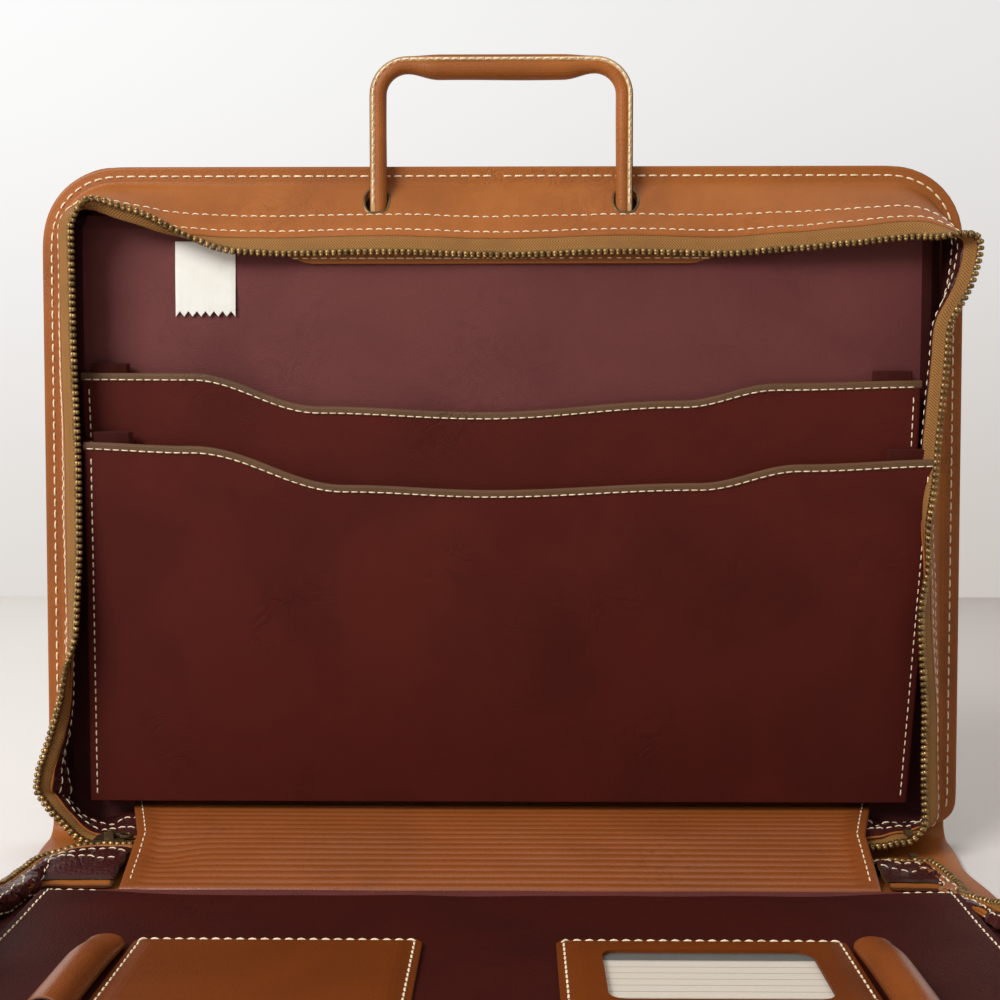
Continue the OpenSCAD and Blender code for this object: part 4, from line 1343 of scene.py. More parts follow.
BACK_LEFT = Return(side=-1, root_y=-5, root_z=17, way=-1, outer_x=193.2, bend_x=175.6,
                   zip_z=11, outer_z=29)
BACK_RIGHT = Return(side=1, root_y=-5, root_z=17, way=-1, outer_x=174.1, bend_x=154,
                    zip_z=11, outer_z=14)
FRONT_LEFT = Return(side=-1, root_y=-81, root_z=6, way=1, outer_x=182.1, bend_x=175.6,
                    zip_z=11, outer_z=8.3)
FRONT_RIGHT = Return(side=1, root_y=-81, root_z=6, way=1, outer_x=174.1, bend_x=154,
                     zip_z=6, outer_z=6)


class Stations:
    """Cross-sections of a wall strip, gathered in order and then evened out.

    Each station holds the base and the zip edge of the outer face, the middle of the sewn
    border at the crease, the crease's inner corner, the way out along the border, the way
    out of the tape, the bulge, the border's width and the height of its crinkles.
    """

    def __init__(self) -> None:
        """Starts with no stations."""
        self.rows: list[np.ndarray] = []

    def add(self, base: np.ndarray, edge: np.ndarray, border: np.ndarray, corner: np.ndarray,
            out: np.ndarray, tape: np.ndarray, bulge: np.ndarray, width: float,
            crinkle: float) -> None:
        """Adds a station."""
        self.rows.append(np.concatenate([base, edge, border, corner, out, unit(tape), bulge,
                                         [width, crinkle]]))

    def evened(self, step: float, sigma: float) -> np.ndarray:
        """Stations at even distances, smoothed.

        Args:
            step: distance between two stations in millimetres.
            sigma: width of the smoothing in stations.

        Returns:
            One row for each station.
        """
        rows = np.array(self.rows)
        moved = np.linalg.norm(np.diff(rows[:, 0:3], axis=0), axis=1)
        moved += np.linalg.norm(np.diff(rows[:, 3:6], axis=0), axis=1)
        places = np.concatenate([[0.0], np.cumsum(moved / 2)])
        count = int(places[-1] / step)
        return smoothed(read_at(places, rows, np.linspace(0, places[-1], count + 1)), sigma)


class Strip:
    """One half's wall strip: the wall, its returns on the spine and what is sewn to it.

    Its sizes are in millimetres. The fan's root and edges are those of the right side, and each
    edge ends with the share of its tape that points ahead.
    """

    columns = 25
    step = 1.8
    evening = 2.2
    loose_bulge = 9.0
    firm_crinkle, loose_crinkle = 0.15, 0.9
    return_border = 1.5
    draw_in = 17.0
    fan_root = (189.2, 119, 4.0)
    fan_edges = ((184.5, 158, 6.2, 0.5), (186.3, 148, 5.8, 0.15), (186.8, 137, 5.4, 0.05),
                 (187.4, 127, 5.6, 0.0))
    fan_shift = 13.0
    low_share, high_share = 0.09, 0.9

    def __init__(self, half: Half) -> None:
        """Works out the strip's outer face.

        Args:
            half: the half that the strip belongs to.
        """
        self.half = half
        rows = self._stations().evened(self.step, self.evening)
        parts = [rows[:, 3 * k:3 * k + 3] for k in range(7)]
        self.base, self.edge, self.border, self.corner, self.out, tape_way, bulge = parts
        self.tape_way = unit(tape_way)
        self.border_w, crinkle = rows[:, 21], rows[:, 22]
        self.shares = np.linspace(0, 1, self.columns)
        k = self.shares[None, :, None]
        face = mix(self.base[:, None], self.edge[:, None], k) + bulge[:, None] * np.sin(np.pi * k)
        fold = Ripple(1.0, 11.0, 5 if half is Half.STANDING else 9)
        calm = Ripple(0.35, 60.0, 7)
        lift = (fold.at(face) * crinkle[:, None] + calm.at(face)) * np.sin(
            np.pi * np.clip(self.shares * 0.9, 0, 1))[None, :]
        self.face = face + grid_normals(face) * lift[..., None]
        self.normal = grid_normals(self.face)
        self.width = np.linalg.norm(np.diff(self.face, axis=1), axis=2).sum(1)

    def _wall(self, stations: Stations, t: float) -> None:
        """Adds the wall's station at a place of its path."""
        half = self.half
        x, y, nx, ny = half.crease(t)
        lean = math.radians(keyed(half.lean, t))
        spread = keyed(half.spread, t)
        out, rise = np.array([nx, ny, 0.0]), np.array([0, 0, 1.0])
        base = np.array([x, y, S.wall_t])
        way = rise * math.cos(lean) - out * math.sin(lean)
        edge = base + way * S.wall_w * spread
        if half is Half.STANDING:
            edge = edge + np.array([ny, -nx, 0.0]) * keyed(half.slide, t)
        bulge = (rise * 0.5 - out) * self.loose_bulge * (1 - spread)
        border = base - rise * S.wall_t / 2
        turn = math.radians(keyed(half.tape_lean, t))
        tape = rise * math.cos(turn) - out * math.sin(turn)
        crinkle = self.firm_crinkle + self.loose_crinkle * (1 - spread)
        if half is Half.LYING:
            end = min(t, 5 - t)
            tape = mix(out + rise * 0.12, way, float(ease(end / 0.4)))
            if t < 1:
                edge = edge - out * self.draw_in * (1 - float(ease(end / 0.42)))
        elif t < 0.6:
            crinkle += 0.5 * (1 - t / 0.6)
        turned = half.turn(np.array([out, tape, bulge]))
        placed = half.place(np.array([base, edge, border, border - out * S.wall_t / 2]))
        stations.add(*placed, *turned, S.border_w - 0.2, crinkle)

    def _return(self, stations: Stations, one: Return, places: Sequence[float]) -> None:
        """Adds stations of a return, at shares of its run."""
        for a in places:
            base, edge = one.under(a)
            way = unit(edge - base)
            border = base + [0, 0, S.wall_t / 2]
            bulge = np.array([0, 0, 1.6 + 1.2 * math.sin(9 * a)])
            tape = way
            if self.half is Half.STANDING:
                aside = 1.1 * float(ease((a - 0.6) / 0.4)) if one.side < 0 else 0.0
                tape = way - [aside, 0, 0.7 * float(ease(a))]
            stations.add(base, edge, border, border, -way, tape, bulge, self.return_border, 1.0)

    def _fan(self, stations: Stations, one: Return, backward: bool) -> None:
        """Adds the fan where the strip turns from the lying half's wall to its return."""
        base, _ = one.under(1)
        shift = 0.0 if one.side < 0 else self.fan_shift
        far_x, far_y, far_z = self.fan_root
        steps = list(enumerate(self.fan_edges))
        for k, (x, y, z, ahead) in (reversed(steps) if backward else steps):
            share = (k + 1) / (len(steps) + 1)
            edge = np.array([one.side * (x - shift), y, z])
            root = mix(base, np.array([one.side * far_x, far_y, far_z]), share)
            out = np.array([one.side * share, share - 1, 0])
            tape = np.array([one.side * (1 - ahead), ahead, 0.1])
            bulge = np.array([-one.side * 6.0 * share, 0, 2.0 + 3.0 * share])
            border = root + [0, 0, 0.8 - 1.6 * share]
            stations.add(root, edge, border, border, unit(out), tape, bulge,
                         self.return_border + 5 * share, 1.0)

    def _stations(self) -> Stations:
        """Gathers the strip's stations from one return to the other."""
        stations = Stations()
        run = np.linspace(0, 1, 13)
        if self.half is Half.STANDING:
            self._return(stations, BACK_LEFT, run)
            places = np.linspace(0.13, 4.96, 240)
            for k in (0.25, 0.5, 0.75):
                self._turn(stations, BACK_LEFT, places[0] * k, k, places[0])
            for t in places:
                self._wall(stations, t)
            self._turn(stations, BACK_RIGHT, 4.98, 0.5, places[-1])
            self._return(stations, BACK_RIGHT, run[::-1])
        else:
            self._return(stations, FRONT_RIGHT, run)
            self._fan(stations, FRONT_RIGHT, False)
            for t in np.linspace(0.04, 4.96, 240):
                self._wall(stations, t)
            self._fan(stations, FRONT_LEFT, True)
            self._return(stations, FRONT_LEFT, run[::-1])
        return stations

    def _turn(self, stations: Stations, one: Return, t: float, share: float,
              wall_t: float) -> None:
        """Adds a station between a standing return's outer end and the wall."""
        x, y, nx, ny = self.half.crease(t)
        lean = math.radians(keyed(self.half.lean, wall_t))
        out = np.array([nx, ny, 0.0])
        far = np.array([*self.half.crease(wall_t)[:2], S.wall_t])
        far += np.array([-nx * math.sin(lean), 0, math.cos(lean)]) * S.wall_w
        base = self.half.place(np.array([x, y, S.wall_t]))
        _, near = one.under(1)
        edge = mix(near, self.half.place(far), share)
        border = self.half.place(np.array([x, y, S.wall_t / 2]))
        corner = self.half.place(np.array([x - nx * S.wall_t / 2, y, S.wall_t / 2]))
        bulge = np.array([-nx * 3.0, 0, 1.5])
        turned = self.half.turn(out)
        tape = unit(edge - base) + turned * (1.7 if one.side < 0 else 0.0)
        stations.add(base, edge, border, corner, turned, tape, bulge,
                     mix(self.return_border, S.border_w - 0.2, share), 1.0)

    def at(self, share: np.ndarray | float, sink: float = 0.0) -> tuple[np.ndarray, np.ndarray]:
        """Points and normals along the strip at a share of its width.

        Args:
            share: share of the width from the base, one or one for each station.
            sink: depth under the outer face in millimetres.

        Returns:
            The points and the outer face's normals.
        """
        places = np.broadcast_to(share, len(self.base)) * (self.columns - 1)
        low = np.clip(places.astype(int), 0, self.columns - 2)
        part = (places - low)[:, None]
        number = np.arange(len(self.base))
        points = mix(self.face[number, low], self.face[number, low + 1], part)
        normals = unit(mix(self.normal[number, low], self.normal[number, low + 1], part))
        return points - normals * sink, normals

    def wall_grid(self) -> tuple[np.ndarray, np.ndarray]:
        """Middle surface of the tan strip with its border, and its columns' places in mm."""
        columns, places = [], []
        rim, crease = 1.2, 1.2
        for d in (0, 0.15 * rim, 0.5 * rim, rim, 2.6, 4.4):
            width = np.maximum(self.border_w - d, crease)[:, None]
            columns.append(self.border + self.out * width)
            places.append(-S.border_w + 0.2 + d)
        start = self.border + self.out * crease
        stop, _ = self.at(self.low_share, S.wall_t / 2)
        for k in (0.0, 0.25, 0.5, 0.75):
            columns.append((1 - k) ** 2 * start + 2 * k * (1 - k) * self.corner + k * k * stop)
            places.append(mix(-crease, 2.6, k))
        near = [1 - p * rim / S.wall_w for p in (1, 0.5, 0.15, 0)]
        for share in (*np.linspace(self.low_share, self.high_share, 13), *near):
            columns.append(self.at(share, S.wall_t / 2)[0])
            places.append(share * S.wall_w)
        return np.stack(columns, 1), np.array(places)

    def lining_grid(self, frayed: float) -> tuple[np.ndarray, np.ndarray]:
        """Middle surface of the strip's lining, and its columns' places in mm."""
        sink = S.wall_t + S.lining_gap + S.wall_lining_t / 2
        shares = np.concatenate([np.linspace(0.06, 0.96, 15), [0.975, 0.99, 1.0]])
        wave = Ripple(1.0, 14.0, 21).at(self.edge) * frayed
        columns = [self.at(share, sink)[0] for share in shares]
        over = self.tape_way * (1.2 + wave)[:, None]
        grow = np.clip((shares - 0.9) / 0.1, 0, 1)
        columns = [c + over * g for c, g in zip(columns, grow)]
        return np.stack(columns, 1), shares * S.wall_w

    def tape_at(self, places: Sequence[float], bend: float = 2.4) -> np.ndarray:
        """Points of the tape, which leaves the wall straight and turns to its own way.

        Args:
            places: distances from the wall's edge.
            bend: length of the turn.

        Returns:
            One row of points for each station.
        """
        middle, _ = self.at(1.0, S.wall_t / 2 + 0.1)
        ahead = unit(self.face[:, -1] - self.face[:, -3])
        w = np.asarray(places, float)
        bent = np.clip(w, 0, bend) ** 2 / (2 * bend) + np.maximum(w - bend, 0)
        return (middle[:, None] + ahead[:, None] * (w - bent)[None, :, None]
                + self.tape_way[:, None] * bent[None, :, None])

    def tape_grid(self) -> tuple[np.ndarray, np.ndarray]:
        """Middle surface of the zip tape, and its columns' places in mm."""
        places = with_rims(-1.2, S.tape_w, 0.8, 0.4)
        return self.tape_at(places), places

    def rim_rings(self, radius: float) -> np.ndarray:
        """Rings of a thin cord along the lining's zip edge, the leather's turned rim."""
        sink = S.wall_t + S.lining_gap + S.wall_lining_t * 0.6
        line, normal = self.at(1.0, sink)
        line = line + self.tape_way * 1.5
        return swept_rings(line, normal, circle(8) * radius)

    def chain(self, span: slice) -> Row:
        """Teeth of the zip along part of the strip, from the tape's edge."""
        curve = self.tape_at([S.tape_w])[span, 0]
        face = unit(np.cross(self.tape_way[span], along(curve)))
        row = row_along(curve, face, S.tooth_pitch)
        lengths = arc_length(curve)
        wanted = (np.arange(len(row.points)) + 0.5) * S.tooth_pitch
        return Row(row.points, unit(read_at(lengths, self.tape_way[span], wanted)), row.face)

    def seam(self, inside: float, span: slice, pitch: float, lined: bool) -> Row:
        """Stitches at a distance inside the strip's zip edge, on one of its faces."""
        sink = S.wall_t + S.lining_gap + S.wall_lining_t if lined else 0.0
        share = 1 - inside / np.maximum(self.width, 1.5 * inside)
        curve, normal = self.at(share, sink)
        return row_along(curve[span], -normal[span] if lined else normal[span], pitch)

    def border_seam(self, span: slice, inside: float = 4.5, pitch: float = 4.9) -> list[Row]:
        """Stitches along the sewn border, on its face and on the cover's back."""
        wide = np.flatnonzero(self.border_w > inside + 1.0)
        span = slice(max(span.start or 0, wide[0]), min(span.stop or wide[-1], wide[-1]))
        width = (self.border_w - inside + 0.2)[:, None]
        curve = (self.border + self.out * width)[span]
        into = self.half.turn(np.array([0.0, 0.0, 1.0]))
        face = np.broadcast_to(into, curve.shape)
        front = row_along(curve + into * S.wall_t / 2, face, pitch)
        back = row_along(curve - into * (S.wall_t / 2 + S.shell_t), -face, pitch)
        return [front, back]


@dataclass
class Shell:
    """The outer cover: two halves and the spine, one hide with two soft folds.

    Attributes:
        fold_r: radius of the fold under the standing half.
        pulls_left: how far the standing cover's left side is drawn in, up the half.
        pulls_right: the same on the right.
        rim: width of the rounded edge.
        step: distance between two rows of the mesh.
    """

    shop: Workshop
    fold_r: float = 8.0
    rim: float = 1.4
    step: float = 4.0
    pulls_left: Keys = ((0, 1.0), (40, 2.4), (150, 1.2), (299, 0.6))
    pulls_right: Keys = ((0, 5.0), (45, 5.0), (120, 2.6), (200, 0.5), (299, 0.0))

    def _half_width(self, y: float, waist: float) -> float:
        """Half width of a cover at a height, with its rounded top corners."""
        if y <= S.arc_y:
            return S.case_w / 2 - S.drawn_in(y, waist)
        rise = min(y - S.arc_y, S.corner_r)
        return S.arc_x + math.sqrt(max(S.corner_r ** 2 - rise ** 2, 0.0))

    def _grid(self, centre: np.ndarray, left: np.ndarray, right: np.ndarray,
              edge: np.ndarray, swap: bool) -> tuple[np.ndarray, np.ndarray]:
        """Middle surface across a line of centre points, and its thickness share.

        Args:
            centre: centre points of the rows.
            left: half width to the left of each row.
            right: half width to the right of each row.
            edge: distance from each row to the cover's end.
            swap: turns the columns round, for a cover that runs towards the camera.

        Returns:
            The grid and the shares.
        """
        unit_columns = with_rims(-1.0, 1.0, 0.02, self.rim / (S.case_w / 2))
        if swap:
            unit_columns = -unit_columns
        x = np.where(unit_columns[None, :] < 0, unit_columns * left[:, None],
                     unit_columns * right[:, None])
        grid = np.repeat(centre[:, None, :], len(unit_columns), 1)
        grid[..., 0] = x
        inside = np.minimum(left[:, None] + x, right[:, None] - x)
        top_r = S.corner_r
        ring_x = np.maximum(np.abs(x) - S.arc_x, 0)
        ring_y = np.maximum(top_r - edge[:, None], 0)
        corner = np.where((ring_x > 0) & (ring_y > 0), top_r - np.hypot(ring_x, ring_y), inside)
        near = np.minimum(np.minimum(inside, corner), edge[:, None])
        return grid, rim_share(near, self.rim)

    def standing(self) -> bpy.types.Object:
        """The standing cover with the rear part of the spine."""
        flat_end = S.hinge_y - self.fold_r
        middle_y = S.hinge_y - S.spine_w / 2
        turn = np.linspace(0, math.pi / 2, 9)[1:-1]
        heights = with_rims(S.axis_z + self.fold_r - self.rim, S.axis_z + S.case_h, self.step,
                            self.rim)[3:]
        crowd = S.axis_z + S.case_h - np.array([0.4, 1.6, 3.2, 5.2, 7.6, 10.4, 13.6, 17.5, 22, 27])
        heights = np.unique(np.round(np.concatenate([heights, crowd]), 3))
        path = [(y, S.axis_z) for y in np.linspace(middle_y, flat_end, 10)]
        path += [(flat_end + self.fold_r * math.sin(a),
                  S.axis_z + self.fold_r * (1 - math.cos(a))) for a in turn]
        path += [(S.hinge_y, z) for z in heights]
        rows = np.array([[0.0, y, z] for y, z in path])
        left, right, edge = [], [], []
        for _, y, z in rows:
            up = z - S.axis_z
            along_spine = (S.hinge_y - y) / S.spine_w
            narrow = S.waist * float(ease(along_spine)) if up < self.fold_r else 0.0
            wide = self._half_width(up, 0.0) - narrow
            left.append(wide - keyed(self.pulls_left, up))
            right.append(wide - keyed(self.pulls_right, up))
            edge.append(S.case_h - up if up > 1 else 100.0)
        grid, share = self._grid(rows, np.array(left), np.array(right), np.array(edge), False)
        calm = Ripple(0.35, 90.0, 3).at(grid) * np.clip(grid[..., 2] / 60, 0, 1)
        grid[..., 1] += np.minimum(calm, 0.2)
        return self.shop.sheet("cover_standing", grid, S.shell_t, share, Finish.TAN)

    def lying(self) -> bpy.types.Object:
        """The lying cover with the front part of the spine."""
        start = S.hinge_y - S.spine_w / 2
        fold = S.hinge_y - S.spine_w
        far = fold - S.case_h
        crowd = far + np.array([0, 0.2, 0.7, 1.4, 2.4, 4.4, 7.0, 10, 13.6, 17.5, 22, 27])
        places = np.concatenate([np.linspace(start, far + 32, 86), crowd[::-1]])
        rows = np.array([[0.0, y, S.axis_z] for y in places])
        left, right = [], []
        for y in places:
            up = fold - y
            if up < 0:
                wide = S.case_w / 2 - S.waist * float(ease((S.hinge_y - y) / S.spine_w))
            else:
                wide = self._half_width(up, S.waist)
            fade = float(ease((y - far) / 200))
            left.append(wide - 1.0 * fade)
            right.append(wide - 5.0 * fade * float(ease((up + 42) / 42 * -1 + 1)) if up < 0
                         else wide)
        grid, share = self._grid(rows, np.array(left), np.array(right), places - far, True)
        return self.shop.sheet("cover_lying", grid, S.shell_t, share, Finish.TAN)

    def build(self) -> None:
        """Makes the cover and hides the nodes that it replaces."""
        standing, lying = self.standing(), self.lying()
        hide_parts("back_cover", "spine_cover")
        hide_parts("front_cover")
        Bend("spine", "back_half", (0, 206, 0), (0, 214.1, 12)).carry(standing)
        Bend("spine", "front_half", (0, 136, 0), (0, 124, 0)).carry(lying)
        report([standing, lying])


# Where the wall strips bend as the halves fold
BACK_BENDS = (Bend("spine", "back_half", (-176, 0, 11), (-183.87, 0, 17.56)),
              Bend("spine", "back_half", (160, 0, 14), (171.8, 0, 23.84)))
FRONT_BEND = Bend("spine", "front_half", (0, 150, 0), (0, 122, 0))


@dataclass
class Walls:
    """Wall strips of both halves, with lining, tape, teeth and seams.

    Attributes:
        tape_pitch: distance between two stitches beside the zip.
        seam_insides: distances of the seams from the zip edge.
    """

    shop: Workshop
    tape_pitch: float = 4.2
    seam_insides: tuple[float, float] = (3.5, 11.8)

    def _leg_cutters(self, half: Half) -> list[bpy.types.Object]:
        """Bodies that cut the slots for a handle's legs."""
        made = []
        for side in (-1, 1):
            x = side * (S.leg_spacing + S.slot_out) / 2
            r = S.slot_r
            profile = rounded_profile(2 * r + S.slot_out, 2 * r, r - 0.01, 7)
            rings = np.array([[(x + u, y, S.leg_z + v) for u, v in profile]
                              for y in (S.hole_y - 30, S.hole_y + 30)])
            made.append(tube_object("slot", half.place(rings), self.shop.palette[Finish.TAN]))
        return made

    def _part(self, strip: Strip, span: slice, name: str,
              ends: tuple[bool, bool]) -> list[bpy.types.Object]:
        """Makes one length of a strip.

        Args:
            strip: the strip.
            span: its stations.
            name: start of the pieces' names.
            ends: whether the first and the last end are rounded.

        Returns:
            Wall, lining, tape, teeth and seams.
        """
        shop, made = self.shop, []
        sheets = (("wall", strip.wall_grid(), S.wall_t, 1.2, Finish.TAN),
                  ("wall_lining", strip.lining_grid(0.5), S.wall_lining_t, 0.7, Finish.GLOSSY),
                  ("tape", strip.tape_grid(), S.tape_t, 0.4, Finish.WEBBING))
        for part, (grid, places), thick, rim, finish in sheets:
            grid = grid[span]
            share = grid_share(np.arange(len(grid)), places, rim, open_ends=True)
            lengths = arc_length(grid[:, grid.shape[1] // 2])
            if ends[0]:
                share = share * rim_share(lengths, 3 * rim)[:, None]
            if ends[1]:
                share = share * rim_share(lengths[-1] - lengths, 3 * rim)[:, None]
            piece = shop.sheet(f"{name}_{part}", grid, thick, share, finish)
            if part != "tape":
                cut(piece, self._leg_cutters(strip.half))
            made.append(piece)
        rim = shop.tube(f"{name}_rim", strip.rim_rings(0.5)[span], Finish.TAN)
        size = (S.tooth_l, S.tooth_h, S.tooth_w / 2)
        teeth = shop.tooth.along(f"{name}_zip", [strip.chain(span)], size,
                                 shop.palette[Finish.BRASS])
        rows = [strip.seam(d, span, self.tape_pitch, lined) for d in self.seam_insides
                for lined in (False, True)]
        seams = shop.sew(f"{name}_zip_seams", rows, Stitch.ZIP)
        border = shop.sew(f"{name}_border_seam", strip.border_seam(span), Stitch.BORDER)
        return [*made, rim, teeth, seams, border]

    def build(self) -> dict[Half, tuple[bpy.types.Object, ...]]:
        """Makes both strips and hides the nodes that they replace.

        Returns:
            The tan walls of each half.
        """
        back, front = Strip(Half.STANDING), Strip(Half.LYING)
        middle = int(np.argmax(back.base[:, 2] - 0.001 * np.abs(back.base[:, 0])))
        left = self._part(back, slice(0, middle + 1), "back_left", (True, False))
        right = self._part(back, slice(middle, None), "back_right", (False, True))
        around = self._part(front, slice(0, None), "front", (True, True))
        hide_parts("back_wall", "back_return_left")
        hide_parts("back_wall_lining")
        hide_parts("back_tape", "return_tapes")
        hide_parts("back_teeth", "return_teeth")
        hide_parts("back_return_right")
        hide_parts("front_wall", "front_return_left", "front_return_right")
        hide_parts("front_wall_lining")
        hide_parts("front_tape", "corner_left", "corner_right")
        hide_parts("front_teeth", "corner_teeth")
        for bend, pieces in ((BACK_BENDS[0], left), (BACK_BENDS[1], right), (FRONT_BEND, around)):
            bend.carry(*pieces)
            report(pieces)
        return {Half.STANDING: (left[0], right[0]), Half.LYING: (around[0],)}


@dataclass(frozen=True)
class Slope:
    """A flat drawing on a slope of one half: x across, v up it and h off its face.

    Attributes:
        half: the half that it stands in.
        foot_y: place of its foot up the half.
        foot_z: height of its foot over the cover.
        top_y: place of its top up the half.
        top_z: height of its top over the cover.
    """

    half: Half
    foot_y: float
    foot_z: float
    top_y: float
    top_z: float

    @property
    def angle(self) -> float:
        """Slope in radians."""
        return math.atan2(self.top_z - self.foot_z, self.top_y - self.foot_y)

    def at(self, x: Any, v: Any, h: Any) -> np.ndarray:
        """Points of the drawing in the case's frame."""
        x, v, h = np.broadcast_arrays(*(np.asarray(k, float) for k in (x, v, h)))
        c, s = math.cos(self.angle), math.sin(self.angle)
        up = v - self.foot_y
        local = np.stack([x, self.foot_y + up * c - h * s, self.foot_z + up * s + h * c], -1)
        return self.half.place(local)

    def way(self, x: float, v: float, h: float) -> np.ndarray:
        """A direction of the drawing in the case's frame."""
        c, s = math.cos(self.angle), math.sin(self.angle)
        return self.half.turn(np.array([x, v * c - h * s, v * s + h * c]))

    def seam(self, x: Any, v: Any, h: float, pitch: float) -> Row:
        """Stitches along a line of the drawing."""
        curve = self.at(x, v, h)
        face = np.broadcast_to(self.way(0, 0, 1), curve.shape)
        return row_along(curve, face, pitch)


def folded(side: int, outer: float, width: float, edges: tuple[float, float], dip: float,
           step: float) -> tuple[np.ndarray, np.ndarray]:
    """Section of a folded gusset, a V with a soft fold.

    Args:
        side: -1 for the left one and 1 for the right one.
        outer: distance of its two sewn edges from the middle.
        width: width of the V.
        edges: place of the near edge off the panel and distance to the far one.
        dip: how far the leather sinks between the near edge and the fold.
        step: distance between two points.

    Returns:
        Points as (distance from the middle, off the panel), and their places along the V.
    """
    low, deep = edges
    inner = outer - width
    fold = np.array([(outer, low), (inner + 6, low - dip), (inner + 1, low - deep * 0.32),
                     (inner, low - deep / 2), (inner + 1, low - deep * 0.68),
                     (inner + 6, low - deep + (dip + 0.4)), (outer, low - deep + 0.5)])
    lengths = arc_length(fold)
    places = with_rims(0, lengths[-1], step, 0.6)
    line = read_at(lengths, fold, places)
    return (line if side > 0 else line[::-1]), places


@dataclass
class Pocket:
    """One pocket of the standing half: panel, edge binding, gussets and seams.

    Attributes:
        name: its name.
        slope: where it stands.
        edge: its scalloped edge, as (x, height) pairs.
        foot: its left and right ends at the foot.
        top: its left and right ends at the edge.
        puff: how far its middle swells.
    """

    shop: Workshop
    name: str
    slope: Slope
    edge: Keys
    foot: tuple[float, float]
    top: tuple[float, float]
    puff: float
    binding_h: float = 3.7
    binding_t: float = 2.4
    stitch_in: float = 2.9
    pitch: float = 3.7
    gusset_fold: float = 16.0
    gusset_rise: float = 4.0
    gusset_t: float = 0.9
    gusset_deep: float = 4.9

    def _edge(self, x: np.ndarray) -> np.ndarray:
        """Height of the edge at places across."""
        return np.array([keyed(self.edge, float(k)) for k in x])

    def panel(self) -> bpy.types.Object:
        """The leather panel, slightly swollen."""
        foot_y = self.slope.foot_y
        rise = with_rims(0, 1, 0.02, 0.006)
        across = with_rims(0, 1, 0.012, 0.0035)
        left = mix(self.foot[0], self.top[0], rise)[:, None]
        right = mix(self.foot[1], self.top[1], rise)[:, None]
        x = mix(left, right, across[None, :])
        top = self._edge(mix(self.top[0], self.top[1], across)) - self.binding_h * 0.6
        v = mix(foot_y, top[None, :], rise[:, None])
        swell = np.sin(np.pi * rise)[:, None] ** 0.8 * np.sin(np.pi * across)[None, :] ** 0.7
        calm = Ripple(0.30, 55.0, 11 + len(self.name)).at(points_of(x, v, 0.0))
        grid = self.slope.at(x, v, S.pocket_t / 2 + self.puff * swell + calm * swell)
        share = grid_share(rise, across, 0.004)
        return self.shop.sheet(f"{self.name}_panel", grid, S.pocket_t, share, Finish.BURGUNDY)

    def binding(self) -> bpy.types.Object:
        """The binding folded over the edge."""
        x = np.linspace(self.top[0], self.top[1], 120)
        path = self.slope.at(x, self._edge(x) - self.binding_h / 2, S.pocket_t / 2)
        profile = rounded_profile(self.binding_h, self.binding_t, 1.1, 4)
        outward = np.broadcast_to(self.slope.way(0, 1, 0), path.shape)
        rings = swept_rings(path, outward, profile)
        return self.shop.tube(f"{self.name}_binding", rings, Finish.OLIVE)

    def gusset(self, side: int) -> bpy.types.Object:
        """The folded gusset behind one end."""
        end = 0 if side < 0 else 1
        low = -(self.binding_t - S.pocket_t) / 2 - 0.6
        line, places = folded(side, self.top[end] * side - 3.5, self.gusset_fold,
                              (low, self.gusset_deep), 0.5, 1.6)
        top = keyed(self.edge, self.top[end]) + self.gusset_rise
        up = with_rims(self.slope.foot_y + 1, top, 4.0, 0.6)
        shrink = mix(1.0, 0.975, (top - up) / top)[:, None]
        grid = self.slope.at(side * line[None, :, 0] * shrink, up[:, None], line[None, :, 1])
        share = grid_share(up, places, 0.6)
        name = f"{self.name}_gusset_{'left' if side < 0 else 'right'}"
        # the panel finish's darker colour is painted shade in the gusset's fold
        return self.shop.sheet(name, grid, self.gusset_t, share, Finish.PANEL)

    def seams(self) -> bpy.types.Object:
        """Stitches under the edge and up both sides."""
        x = np.linspace(self.top[0] + 1, self.top[1] - 1, 160)
        face = S.pocket_t / 2 + self.binding_t / 2
        rows = [self.slope.seam(x, self._edge(x) - self.stitch_in, face, self.pitch)]
        for end, inside in ((0, 3.2), (1, -3.2)):
            top = keyed(self.edge, self.top[end]) - self.binding_h
            v = np.linspace(self.slope.foot_y + 3, top, 60)
            run = (v - self.slope.foot_y) / (top - self.slope.foot_y)
            side = mix(self.foot[end], self.top[end], run) + inside
            rows.append(self.slope.seam(side, v, S.pocket_t, self.pitch))
        return self.shop.sew(f"{self.name}_seams", rows, Stitch.POCKET)

    def build(self) -> None:
        """Makes the pocket and lets it ride on the standing half."""
        panel, binding, seams = self.panel(), self.binding(), self.seams()
        left, right = self.gusset(-1), self.gusset(1)
        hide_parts(self.name)
        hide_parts(self.name.replace("pocket", "binding"))
        for side, piece in (("left", left), ("right", right)):
            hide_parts(self.name.replace("pocket", f"gusset_{side}"))
        ride_on(Half.STANDING.body, [panel, binding, seams, left, right])


